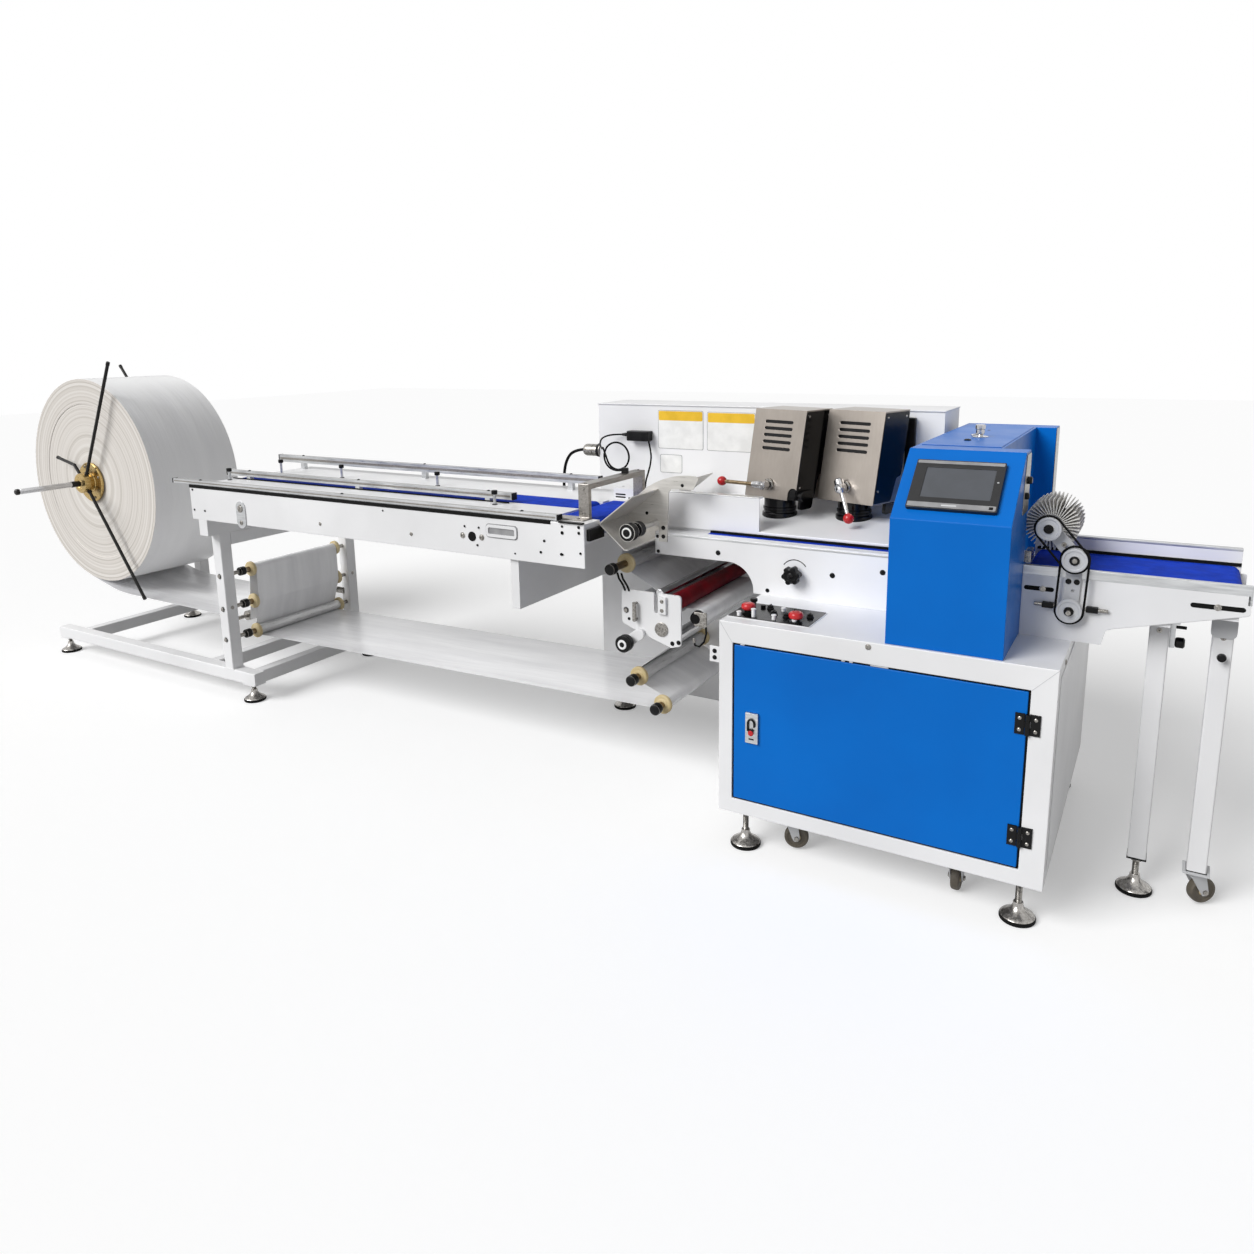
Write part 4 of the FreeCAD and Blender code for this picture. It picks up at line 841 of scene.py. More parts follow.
def makeDoorFittings():
    size = doorParts
    x0, x1, z0, z1 = size["latch"]
    plate = boxPiece((x0 - 0.6, -7.8, z0 - 0.6), (x1 + 0.6, 0, z1 + 0.6), 2.2)
    bx, bz = size["button"]
    ring = turnedPiece([(10, 0), (10, 1.4), (9, 2)], (bx, -7.8, bz - 4), frontFace, 40)
    bow = [(bx + 9 * math.cos(turn), -10.4, bz + 22 + 12 * math.sin(turn))
           for turn in (math.radians(180 - 15 * k) for k in range(13))]
    bow = roundLoop([(bx - 9, -10.4, bz + 2)] + bow + [(bx + 9, -10.4, bz + 14)], 2.6, "latchBow",
                    closed=False)
    button = turnedPiece([(7.6, 0), (7.6, 4), (6.4, 5.2), (3, 5.6)], (bx, -8.4, bz - 4), frontFace, 32)
    slot = boxPiece((bx - 7, -8.6, bz - 24), (bx + 7, -7.6, bz - 20), 0.3)
    latch = joined([coloured(plate, "aluminium"), coloured(ring, "chrome"),
                    coloured([bow, slot], "blackPlastic"), coloured(button, "redPlastic")])
    finishPiece(latch, "doorLatch", "door")

    hinge = size["hingeX"]
    leaf = size["leaf"]
    for low in size["hinges"]:
        high = low + size["height"]
        onDoor = boxPiece((hinge - leaf, -3.6, low), (hinge - 7, 0, high), 1.0)
        onFrame = boxPiece((hinge + 7, -3.6, low), (hinge + leaf, 0, high), 1.0)
        for piece, body, cx in ((onDoor, "door", hinge - 17), (onFrame, "frame", hinge + 17)):
            heads = [turnedPiece([(4.4, 0), (4.2, 1.2), (3, 2.2), (1.7, 2.4), (1.6, 1)], (cx, -3.4, z),
                                 frontFace, 20) for z in (low + 11, high - 11)]
            piece = joined([coloured(piece, "blackPlastic"), coloured(heads, "turnedSteel")])
            finishPiece(piece, "hingeLeaf_" + body + "_" + str(low), body)


makeDoorFittings()
print("door fittings made")


# sealing heads: folded steel covers with slots, a black liner and black right sides as painted shade of the
# open insides, and round bases
heads = {
    "corners": [(-150.0, 510.0), (75.0, 537.0)], "wide": 195, "deep": 127, "tall": 266, "lean": 50,
    "yaw": 18, "low": 905, "sheet": 3, "slotHalf": 49, "slotRadius": 4.6, "slotTop": 0.86, "slotStep": 0.075,
    "baseAcross": 0.48, "baseInward": 0.45, "baseRadius": 54,
}
headYaw = math.radians(heads["yaw"])
headAcross = Vector((math.cos(headYaw), -math.sin(headYaw), 0))
headInward = Vector((math.sin(headYaw), math.cos(headYaw), 0))


def headPoint(corner, across, inward, up):
    start = Vector((corner[0], corner[1], heads["low"]))
    rise = Vector((0, 0, heads["tall"])) + headInward * heads["lean"]
    return start + headAcross * across + headInward * inward + rise * (up / heads["tall"])


def headSheet(corner, outline, front, back, soft=0.0):
    return sheetPiece(outline, lambda a, u: spot(*headPoint(corner, a, front, u)),
                      headInward * (back - front), soft)


def headSide(corner, outline, across, thick, soft=0.0):
    return sheetPiece(outline, lambda b, u: spot(*headPoint(corner, across, b, u)), headAcross * thick,
                      soft)


def makeHead(corner, withBoss):
    size = heads
    w, d, t, s = size["wide"], size["deep"], size["tall"], size["sheet"]
    cover = headSheet(corner, oblong(0, w, 0, t), 0, d)
    cutBy(cover, headSheet(corner, oblong(s, w - s, -20, t - s), s, d - s))
    middle = w / 2
    for k in range(5):
        up = t * (size["slotTop"] - size["slotStep"] * k)
        half = size["slotHalf"]
        outline = stadium((middle - half, up), (middle + half, up), 2 * size["slotRadius"], 6)
        cutBy(cover, headSheet(corner, outline, -8, s + 4))
    if withBoss:
        cutBy(cover, headSheet(corner, stadium((w - 12, 4), (w - 12, 20), 36, 8), -8, 30))
    softEdges(cover, 0.9, 2, 30)
    coloured(cover, "brushedSteel")
    # painted shade: the black liner fills the inside of the cover so the slots show dark, and the black panel
    # on the right side stands for the open side in shade; the round base and the boss are black parts
    dark = [headSheet(corner, oblong(s + 1, w - s - 1, 2, t - s - 1), s + 0.4, d - s - 1),
            headSide(corner, rounded([(2, t - 4), (d - 3, t - 4), (d - 3, 76), (d - 26, 70), (d - 40, 4),
                                      (2, 4)], 8, 3), w + 0.2, 1.6, 0.4)]
    base = headPoint(corner, w * size["baseAcross"], d * size["baseInward"], 0)
    deckZ = 826 + 46 * (base.y - 350) / 358
    r = size["baseRadius"]
    dark.append(turnedPiece([(r - 1, -14), (r, -13), (r, 6), (r - 1, 8), (r - 5, 10), (r - 5, 16),
                             (r - 3, 18), (r - 3, 25), (r - 6, 27), (r - 6, size["low"] - deckZ - 2)],
                            (base.x, base.y, deckZ), topFace, 56))
    if withBoss:
        boss = headPoint(corner, w - 26, 19, 14)
        dark.append(turnedPiece([(12, 0), (14, 3), (14, 40), (12, 43)], boss, headAcross, 36))
        dark.append(headSide(corner, rounded(oblong(14, 74, -26, 30), 12, 4), w + 2, 9, 1.2))
    else:
        dark.append(headSide(corner, rounded(oblong(70, d, -34, 30), 12, 4), w - 12, 11, 1.2))
    body = coloured(dark, "blackGloss")
    rivets = [turnedPiece([(4, 0), (3.7, 1), (2, 1.7)], headPoint(corner, w + 1.6, b, u), headAcross,
                          16) for b, u in ((16, t - 18), (d - 18, t - 18), (14, 40))]
    return joined([cover, body, coloured(rivets, "turnedSteel")])


def leverAxis(corner, share, hubUp):
    return headPoint(corner, heads["wide"] * share, 0, hubUp), headInward * -1


def redBall(centre, aim, radius):
    profile = []
    for k in range(13):
        turn = math.pi * (0.12 + 0.88 * k / 12)
        profile.append((max(radius * math.sin(turn), 0.4), -radius * math.cos(turn)))
    collar = [(6.2, -radius - 1.5), (6.6, -radius - 1)]
    return coloured(turnedPiece(collar + profile, centre, aim, 40), "redPlastic")


def makeLevers():
    corner = heads["corners"][0]
    hub, out = leverAxis(corner, 0.46, 42)
    root = hub + out * 26
    end = root + headAcross * -160 + out * 10 + Vector((0, 0, -2))
    aim = (end - root).normalized()
    metal = [turnedPiece([(12.5, 0), (13, 0.6), (13, 24), (12, 25.5), (7, 25.5), (6.5, 24)],
                         hub + out * 12.6, out, 40),
             turnedPiece([(12.2, 0), (13.2, 2), (13.2, 11), (11, 13), (11, 40), (9, 42), (9, 50),
                          (7, 52)], root + aim * -10, aim, 36)]
    rod = coloured(turnedPiece([(5, 0), (6, 1), (6, 105), (5, 108)], root + aim * 41, aim, 24), "bronze")
    lever = joined([coloured(metal, "chrome"), rod, redBall(end, aim, 15.2)])
    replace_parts(finishPiece(lever, "sealLeverLeft", "seal_lever_one"), "seal_lever_one")

    corner = heads["corners"][1]
    hub, out = leverAxis(corner, 0.49, 44)
    root = hub + out * 26
    end = root + headAcross * 58 + out * 38 + Vector((0, 0, -78))
    aim = (end - root).normalized()
    metal = [turnedPiece([(13, 0), (14, 1), (14, 24), (12.5, 25.5)], hub + out * 12.6, out, 40),
             turnedPiece([(13, -26), (13.6, -25), (13.6, 9), (11, 12), (8, 16), (7, 19)], root, aim, 36),
             turnedPiece([(5.5, 14), (6, 15), (6, 92)], root, aim, 24)]
    black = coloured(turnedPiece([(10.5, 0), (10.5, 3.5), (8, 4.6)], root - aim * 26, -aim, 32),
                     "blackPlastic")
    lever = joined([coloured(metal, "chrome"), black, redBall(end, aim, 15.2)])
    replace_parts(finishPiece(lever, "sealLeverRight", "seal_lever_two"), "seal_lever_two")


def makeSealHeads():
    pieces = [makeHead(heads["corners"][0], True), makeHead(heads["corners"][1], False)]
    stubs = []
    for corner, share, hubUp in ((heads["corners"][0], 0.46, 42), (heads["corners"][1], 0.49, 44)):
        hub, out = leverAxis(corner, share, hubUp)
        stubs.append(turnedPiece([(17, -1), (18, 0), (18, 4), (16, 6), (11, 7), (6, 7), (6, 11.8)], hub,
                                 out, 40))
    pieces.append(coloured(stubs, "turnedSteel"))
    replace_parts(finishPiece(pieces, "sealHeads", smooth=30), "seal_heads")
    makeLevers()


makeSealHeads()
print("sealing heads made")


# touch screen on the slanted face

screenSizes = {
    "middle": (563, 8 + 163 * 0.47, 966 + 147 * 0.47), "slope": math.atan2(147, 163),
    "bezel": (-100, 102, -74, 73), "glass": (-73, 83, -41, 50),
}


def screenPoint(across, up, out):
    slope = screenSizes["slope"]
    x, y, z = screenSizes["middle"]
    return (x + across, y + up * math.cos(slope) - out * math.sin(slope),
            z + up * math.sin(slope) + out * math.cos(slope))


def screenSlab(outline, low, high, soft=0.0):
    slope = screenSizes["slope"]
    aim = Vector((0, -math.sin(slope), math.cos(slope))) * (high - low)
    return sheetPiece(outline, lambda a, u: spot(*screenPoint(a, u, low)), aim, soft)


def makeScreen():
    left, right, low, high = screenSizes["bezel"]
    bezel = screenSlab(rounded(oblong(left, right, low, high), 5, 4), 0, 11)
    gx0, gx1, gu0, gu1 = screenSizes["glass"]
    cutBy(bezel, screenSlab(oblong(gx0, gx1, gu0, gu1), 9, 20))
    softEdges(bezel, 1.0, 2, 40)
    coloured(bezel, "screenBlack")
    strips = [screenSlab(rounded(oblong(left + 3, right - 3, high - 12, high - 3), 2, 2), 10.5, 11.6,
                         0.4),
              screenSlab(rounded(oblong(left + 3, right - 3, low + 3, low + 17), 2, 2), 10.5, 11.6, 0.4)]
    coloured(strips, "greyPlastic")
    glass = coloured(screenSlab(oblong(gx0, gx1, gu0, gu1), 8.4, 9.3), "displayGrey")
    plate = coloured(screenSlab(rounded(oblong(-20, 14, low + 8, low + 12), 1.5, 2), 11.4, 12, 0.2),
                     "aluminium")
    lamp = coloured(screenSlab(stadium((91.5, 12), (92.5, 12), 4, 6), 10.8, 11.8, 0.3), "aluminium")
    port = coloured(screenSlab(rounded(oblong(84, 93, low + 6, low + 14), 1, 2), 11.2, 11.9),
                    "blackPlastic")
    frame = joined([bezel, strips[0], glass, plate, lamp, port])
    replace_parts(finishPiece(frame, "operatorScreen", smooth=30), "operator_screen")


makeScreen()


# crimper cover: knob and screws on top, side strip, folded seams

def makeCrimperFittings():
    knob = turnedPiece([(20, 0), (21, 0.8), (21, 3), (19.5, 4), (8, 4), (7, 6), (8, 9), (11, 11),
                        (11, 22), (13, 24), (13, 33), (11.5, 34.5), (5, 35)], (543, 474, coverTop),
                       topFace, 36)
    pin = rodPiece((524, 455, 1120), (540, 470, 1124), 3, 16)
    finishPiece([knob, pin], "coverKnob", finish="chrome")
    small = [turnedPiece([(9, 0), (9, 3), (7, 5), (4, 5.4), (3.6, 3)], (529, 379, coverTop), topFace,
                         28),
             turnedPiece([(5, 0), (4.8, 1.6), (3, 2.4)], (532, 670, coverTop), topFace, 24),
             turnedPiece([(9, 0), (9, 7), (7, 10), (4, 10.6)], (703.2, 195, 1046), rightFace, 28),
             turnedPiece([(8, 0), (8, 6), (6, 8.6), (3, 9)], (703.2, 171, 1012), rightFace, 28)]
    finishPiece(small, "coverScrews", finish="blackPlastic")
    strip = sheetPiece(rounded([(176, 1107), (236, 1107), (236, 968), (150, 968), (158, 1040)], 4, 2),
                       onSide(coverRight), (1.8, 0, 0), 0.5)
    edge = sheetPiece(rounded(oblong(832, 903, 842, 1110), 3, 2), onSide(692), (1.6, 0, 0), 0.4)
    finishPiece([coloured(strip, "archSteel"), coloured(edge, "turnedSteel")], "coverStrips")
    seams = [sheetPiece(oblong(443, 632, 250, 822), onTop(coverTop), (0, 0, 1.6), 0.8),
             boxPiece((434, 6.8, 660), (700, 8.2, 663.5), 0.4)]
    finishPiece(seams, "coverSeams", finish="bluePaint")
    bridge = boxPiece((701.2, 244, 838), (716, 300, 866), 1.5)
    finishPiece(bridge, "coverFoot", finish="turnedSteel")


makeCrimperFittings()
print("crimper fittings made")


# control panel: glossy plate with two red mushroom buttons and small lamps

def makeControlPanel():
    left, right, front, back, low = 2, 232, 42, 188, panelTop
    rim = sheetPiece(rounded(oblong(left, right, front, back), 3, 2), onTop(low), (0, 0, 1.6), 0.4)
    plate = sheetPiece(rounded(oblong(left + 3, right - 3, front + 3, back - 3), 3, 2), onTop(low + 1),
                       (0, 0, 2.2), 0.5)
    coloured(plate, "blackGloss")
    top = low + 3
    red, white, dark = [], [], []
    for x, y in ((48, 82), (189, 62)):
        dark.append(turnedPiece([(16, -0.5), (17, 0.5), (17, 4), (15, 5), (11, 5), (11, 13), (10, 14)],
                                (x, y, top), topFace, 36))
        red.append(turnedPiece([(12, 12), (17, 13.5), (19, 17), (19, 22), (17.5, 26), (14, 28.6),
                                (9, 29.8), (3, 30)], (x, y, top), topFace, 40))
    for x, y, tall in ((33, 54, 12), (72, 60, 22), (129, 60, 13), (188, 53, 10), (123, 145, 9)):
        white.append(turnedPiece([(5.5, -0.5), (5.5, tall - 3), (7, tall - 2), (7, tall),
                                  (5.5, tall + 1)], (x, y, top), topFace, 24))
    for x, y in ((84, 150), (158, 140), (206, 122), (112, 104), (150, 96)):
        dark.append(turnedPiece([(10, -0.5), (10, 3), (8, 4.6), (8, 9), (6.5, 10)], (x, y, top), topFace,
                                28))
        dark.append(boxPiece((x - 1.4, y - 6, top + 9.4), (x + 1.4, y + 6, top + 12.6), 0.5))
    dark.append(rodPiece((46, 124, top - 1), (46, 124, top + 26), 6, 24))
    dark.append(turnedPiece([(8, 0), (10, 2), (10, 8), (8, 10)], (46, 124, top + 22), topFace, 28))
    dark.append(turnedPiece([(6, 0), (7, 1), (7, 7), (5, 8)], (62, 152, top), topFace, 24))
    panel = joined([coloured(rim, "whitePaint"), plate, coloured(red, "redPlastic"),
                    coloured(white, "whitePaint"), coloured(dark, "blackPlastic")])
    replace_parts(finishPiece(panel, "controlPanel"), "control_panel")


makeControlPanel()


# cabinet: cover strip, mitre lines, bolt, painted shadow in the gap over and round the door

def makeCabinetDetails():
    # black strips in the gap round the door are painted shadow
    dark = [boxPiece((41, 4, 597.4), (763, 16, 601.6)), boxPiece((39.3, 4, 164), (43.6, 16, 600)),
            boxPiece((760.4, 4, 164), (764.8, 16, 600)), boxPiece((41, 4, 161.4), (763, 16, 165.6))]
    finishPiece(dark, "doorShadowGap", finish="blackRubber")
    catches = [boxPiece((x, 1.5, 598), (x + wide, 6, 601.4), 0.6)
               for x, wide in ((60, 12), (330, 9), (350, 9), (402, 44))]
    finishPiece(catches, "doorCatches", finish="aluminium")
    lines = [sheetPiece([(1, 656), (2, 657), (38, 603), (37, 602)], onFront(0), (0, -0.25, 0)),
             sheetPiece([(819, 656), (818, 657), (766, 603), (767, 602)], onFront(0), (0, -0.25, 0)),
             boxPiece((202, 275.5, 658), (433, 276.5, 658.3))]
    finishPiece(lines, "cabinetSeams", finish="greyPaint")
    finishPiece([boltHead((396, 0, 646), frontFace, 5, 3),
                 boltHead((cabinetRight, 120, 640), rightFace, 5, 3),
                 boltHead((cabinetRight, 780, 640), rightFace, 5, 3)], "cabinetBolts",
                finish="turnedSteel")
    sheet = sheetPiece(rounded(oblong(40, 868, 150, 628), 6, 2), onSide(cabinetRight), (1.4, 0, 0), 0.5)
    finishPiece(sheet, "cabinetSidePanel", finish="whitePaint")
    back = boxPiece((40, 908, 150), (780, backSheet, 628), 0.6)
    rear = boxPiece((-760, 908, 160), (-40, backSheet, 1120), 0.6)
    grilles = []
    for x0, z0 in ((120, 300), (520, 300), (-560, 500)):
        for k in range(7):
            slot = stadium((x0, z0 + 22 * k), (x0 + 150, z0 + 22 * k), 8, 6)
            grilles.append(sheetPiece(slot, onFront(909.5), (0, 0.5, 0)))
    finishPiece([coloured([back, rear], "whitePaint"), coloured(grilles, "blackRubber")], "rearPanels")


makeCabinetDetails()
print("panel and cabinet details made")


# star knob on its stub

def makeStarKnob():
    x, y, z = 101, 247, 731
    lobes = []
    for k in range(6):
        turn = math.radians(60 * k + 10)
        lobes.append(turnedPiece([(5, 0), (7.5, 2), (8, 5), (8, 24), (6.5, 27), (5, 28)],
                                 (x + 19 * math.cos(turn), y, z + 19 * math.sin(turn)), backFace, 24))
    core = turnedPiece([(6, 3), (7, 1.4), (16, 1.4), (18, 0.6), (21, 2), (21.5, 6), (21.5, 25), (19, 28),
                        (12, 28.5), (12, 36.6), (6, 37)], (x, y, z), backFace, 48)
    cap = coloured(turnedPiece([(8.5, 0), (8.5, 1.6), (7, 2.4), (3, 2.6)], (x, y + 1.8, z), frontFace,
                               28), "blackGloss")
    knob = joined([coloured(lobes + [core], "blackPlastic"), cap])
    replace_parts(finishPiece(knob, "starKnob", "star_knob"), "star_knob")


makeStarKnob()


# brush: thin fins round a core, turned through two round belts

brush = {
    "pulley": (756, 934), "elbow": (816, 864), "drive": (811, 738), "front": 250, "back": 384,
    "radius": 61.5, "core": 14, "fins": 40, "pulleyRadius": 28, "nearY": 209, "farY": 196,
}


def pulleyWheel(at, y0, y1, finishName="greyPaint"):
    r = brush["pulleyRadius"]
    x, z = at
    wide = y1 - y0
    wheel = turnedPiece([(7, 0.6), (12, 0), (13, 1.6), (r - 7, 1.6), (r - 5, 0), (r - 1, 0), (r, 1),
                         (r - 3, wide / 2), (r, wide - 1), (r - 1, wide), (7, wide)], (x, y0, z),
                        backFace, 56)
    return coloured(wheel, finishName)


def pulleyHub(at, y0):
    x, z = at
    hub = turnedPiece([(11, 0), (11, 1), (9, 2.4), (6, 2.4), (5.6, 1), (3.4, 1), (3, 2), (1.5, 2.2)],
                      (x, y0, z), frontFace, 32)
    return coloured(hub, "blackPlastic")


def beltLoop(a, b, y):
    wide = 2 * (brush["pulleyRadius"] - 0.4) + 6
    return roundLoop([(x, y, z) for x, z in stadium(a, b, wide, 16)], 2.6, "beltLoop")


def makeBrush():
    size = brush
    px, pz = size["pulley"]
    fin = []
    steps = 6
    for k in range(steps + 1):
        reach = size["core"] + (size["radius"] - size["core"]) * k / steps
        bend = 0.16 * math.sin(math.pi * 0.5 * k / steps)
        fin.append((reach * math.cos(bend), reach * math.sin(bend)))
    thick = 1.3
    outline = [(px + x, pz + z - thick) for x, z in fin]
    outline += [(px + x, pz + z + thick) for x, z in reversed(fin)]
    master = sheetPiece(outline, onFront(size["front"] + 0.5), (0, size["back"] - size["front"] - 1, 0))
    fins = []
    about = spot(px, size["front"], pz)
    for k in range(size["fins"]):
        fins.append(turnedCopy(master, 2 * math.pi * k / size["fins"], about))
    bpy.data.objects.remove(master)
    fins = coloured(fins, "bristle")
    core = coloured(turnedPiece([(17, 0), (18, 1), (18, 133), (17, 134)], (px, size["front"], pz),
                                backFace, 40), "greyPlastic")
    rings = coloured([turnedPiece([(24, 0), (25, 1), (25, 4), (24, 5), (17, 5)], (px, y, pz), backFace,
                                  40) for y in (size["front"] - 2, size["back"] - 3)], "greyPlastic")
    axle = coloured(turnedPiece([(5.6, 0), (6, 1), (6, 187)], (px, 201, pz), backFace, 24), "turnedSteel")
    wheel = pulleyWheel(size["pulley"], size["farY"] - 6, size["farY"] + 6)
    piece = joined([fins, core, rings, axle, wheel, pulleyHub(size["pulley"], size["farY"] - 6)])
    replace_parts(finishPiece(piece, "brushRoller", "brush"), "brush")


def armPlate(a, b, y0, y1, holes):
    plate = sheetPiece(stadium(a, b, 34, 12), onFront(y0), (0, y1 - y0, 0))
    for x, z, radius in holes:
        cutBy(plate, turnedPiece([(radius, -5), (radius, y1 - y0 + 5)], (x, y0, z), backFace, 24))
    return coloured(softEdges(plate, 0.8, 2, 40), "greyPaint")


def makeBrushDrive():
    size = brush
    lower = armPlate(size["drive"], size["elbow"], 224, 232, [(815, 784, 3.5)])
    upper = armPlate(size["elbow"], size["pulley"], 216, 224, [(792, 892, 5)])
    metal = []
    for x, z in (size["drive"], size["elbow"]):
        metal.append(turnedPiece([(5, 0), (6, 1), (6, 46)], (x, 186, z), backFace, 24))
    metal.append(boltHead((789, 216, 895), frontFace, 4, 3))
    dark = [boltHead((x, 224, 806), frontFace, 4.4, 2.6) for x in (804, 822)]
    arm = joined([lower, upper, coloured(metal, "turnedSteel"), coloured(dark, "blackPlastic")])
    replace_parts(finishPiece(arm, "brushArm"), "brush_arm")

    wheels = [pulleyWheel(size["drive"], size["nearY"] - 6, size["nearY"] + 6),
              pulleyWheel(size["elbow"], size["farY"] - 6, size["nearY"] + 6),
              pulleyHub(size["drive"], size["nearY"] - 6), pulleyHub(size["elbow"], size["farY"] - 6)]
    belts = coloured([beltLoop(size["drive"], size["elbow"], size["nearY"]),
                      beltLoop(size["elbow"], size["pulley"], size["farY"])], "blackRubber")
    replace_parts(finishPiece(wheels + [belts], "brushDrive"), "brush_drive")


makeBrush()
makeBrushDrive()
print("brush made")


# infeed: bolts, holes, rail caps, posts, guide block

def inlay(outline, y, finishName, thick=0.5):
    return coloured(sheetPiece(outline, onFront(y), (0, -thick, 0)), finishName)


guideRails = [(-2360, -545, 52, 870, 16), (-2292, -857, 246, 878, 22), (-2360, -720, 560, 892, 30)]
guidePosts = [(-2230, 210, 34), (-2180, 420, 46), (-1850, 440, 40), (-900, 210, 34), (-1350, 440, 40)]


def makeInfeedDetails():
    screws = [boltHead((x, infeedFront, z), frontFace, r, 2.4, False)
              for x, z, r in ((-2175, 772, 4), (-2238, 850, 4), (-2238, 772, 4), (-525, 855, 3.6),
                              (-525, 836, 5), (-467, 857, 4.4), (-467, 840, 4.4), (-463, 780, 3.6),
                              (-530, 771, 4.4), (-893, 824, 3.4), (-837, 824, 3.4), (-845, 768, 3.4),
                              (-1985, 772, 3.4), (-590, 806, 4), (-604, 770, 4), (-525, 771, 2.8),
                              (-1240, 846, 2.8), (-700, 756, 2.6))]
    bolts = [boltHead((x, infeedFront, z), frontFace, 4.4, 2.8) for x, z in ((-1545, 775), (-1120, 778))]
    bolts += [boltHead((x, 640, z), backFace, 6, 2.8)
              for x, z in ((-2175, 772), (-1545, 775), (-1120, 778), (-520, 780))]
    bolts += [boltHead((x, infeedFront, 794), frontFace, 6.5, 3.4) for x in (-903, -827)]
    plate = sheetPiece(stadium((-1962, 748), (-1962, 800), 50), onFront(infeedFront), (0, -4, 0), 1)
    hasp = [turnedPiece([(13, 0), (13, 2.4), (11, 3.4), (6, 3.4), (5, 1.4)], (-1962, 44, 796), frontFace,
                        36), boxPiece((-1966, 41.6, 800), (-1958, 44, 812), 1)]
    bolts += [boltHead((-1962, 44, 744), frontFace, 6, 2.8)]
    rim = sheetPiece(rounded(oblong(-806, -690, 800, 838), 12, 6), onFront(infeedFront), (0, -4.2, 0))
    cutBy(rim, sheetPiece(rounded(oblong(-798, -698, 809, 829), 5, 4), onFront(50), (0, -8, 0)))
    softEdges(rim, 0.8, 2, 40)
    dark = [inlay(rounded(oblong(-798, -698, 809, 829), 5, 4), infeedFront, "blackRubber", 0.3),
            coloured(turnedPiece([(15, 0), (15, 1.6), (12, 2.4), (8, 1)], (-865, infeedFront, 794),
                                 frontFace, 32), "blackRubber"),
            coloured(boxPiece((-2256, 46.6, 857.5), (-566, 52, 869.4), 0.8), "blackRubber"),
            coloured(boxPiece((-2256, 244, 865), (-870, 248, 870), 0.6), "blackRubber"),
            coloured(screws, "blackPlastic")]
    piece = joined([coloured(bolts + hasp, "turnedSteel"), coloured(plate, "aluminium"),
                    coloured(rim, "whitePaint")] + dark)
    finishPiece(piece, "infeedBolts")
    edge = sheetPiece(rounded(oblong(-809, -687, 797, 841), 14, 6), onFront(infeedFront), (0, -0.8, 0))
    finishPiece(edge, "handleShade", finish="greyPlastic")

    caps, lines = [], []
    for x0, x1, y, low, tall in guideRails:
        caps.append(boxPiece((x0 - 4, y - 0.8, low - 0.8), (x0 + 2, y + 22.8, low + tall + 0.8), 1.2))
        caps.append(boxPiece((x1 - 2, y - 0.8, low - 0.8), (x1 + 4, y + 22.8, low + tall + 0.8), 1.2))
        # darker steel strips along the front and the top of each rail: painted shade standing for the rails'
        # grooves
        lines.append(boxPiece((x0 + 6, y - 0.3, low + tall * 0.34), (x1 - 6, y + 0.1, low + tall * 0.66)))
        lines.append(boxPiece((x0 + 6, y + 8, low + tall - 0.1), (x1 - 6, y + 13.6, low + tall + 0.3)))
        for share in (0.08, 0.5, 0.92):
            x = x0 + (x1 - x0) * share + 10
            caps.append(boltHead((x, y + 11, low + tall), topFace, 4, 3))
    for x, y, tall in guidePosts:
        caps.append(turnedPiece([(7, -1), (9.6, 0.6), (10, 2), (10, 11), (8.6, 13.4), (4, 14)],
                                (x, y, 866 + tall), topFace, 28))
        caps.append(turnedPiece([(9, 0), (9, 2), (7, 3), (5.3, 3)], (x, y, 866), topFace, 28))
    caps = coloured(caps, "blackPlastic")
    finishPiece([caps, coloured(lines, "archSteel")], "railFittings")

    block = coloured(boxPiece((-602.6, 465.4, 866), (-469.4, 542.6, 904.6), 2.2), "whitePaint")
    slots = [inlay(stadium((-592, 884 - k), (-558, 884 - k), 5, 6), 465.6, "blackRubber") for k in (0, 9)]
    slots.append(inlay(oblong(-545, -480, 870, 876), 465.6, "blackRubber"))
    top = [turnedPiece([(5, -0.4), (5, 0.6)], (x, 504, 904.4), topFace, 20) for x in (-588, -484)]
    finishPiece([block, coloured(top, "turnedSteel")] + slots, "guideBlock")

    box = [boxPiece((-449, 60, 815), (-437, 140, 850), 2), boxPiece((-535, 42, 866), (-452, 56, 871), 1)]
    finishPiece(box, "infeedEndBox", finish="blackPlastic")
    screws = [boltHead((-494, 118, z), frontFace, 3.6, 2.4) for z in (884, 958)]
    screws += [boltHead((-494, y, 972), topFace, 3.6, 2.4) for y in (130, 444)]
    screws += [boltHead((x, 98, 871), topFace, 4, 2.6) for x in (-560, -500)]
    finishPiece(screws, "archScrews", finish="turnedSteel")


makeInfeedDetails()


# unwind stand: bolts at the roller axles, plates over the feet, bearing cap

def makeStandDetails():
    bolts = [hexHead((-2197, 95, z), frontFace, 8, 5) for z in (500, 366, 240)]
    bolts += [hexHead((-2197, 775, z), backFace, 8, 5) for z in (500, 366, 240)]
    bolts += [boltHead((-2172, y, 371), rightFace, 5, 3) for y in (120, 750)]
    finishPiece(bolts, "standBolts", finish="turnedSteel")
    plates = [boxPiece((x - 34, y - 24, 66), (x + 34, y + 24, 71), 1.2)
              for x, y in ((-3387, 120), (-3387, 750), (-2088, 120), (-2088, 750))]
    plates.append(boxPiece((-2226, 93.6, 116), (-2168, 146.4, 121.4), 1.2))
    finishPiece(plates, "standPlates", finish="whitePaint")


makeStandDetails()
print("infeed and stand details made")


# rear housing: bare label plates, duct, side screws, panel seams

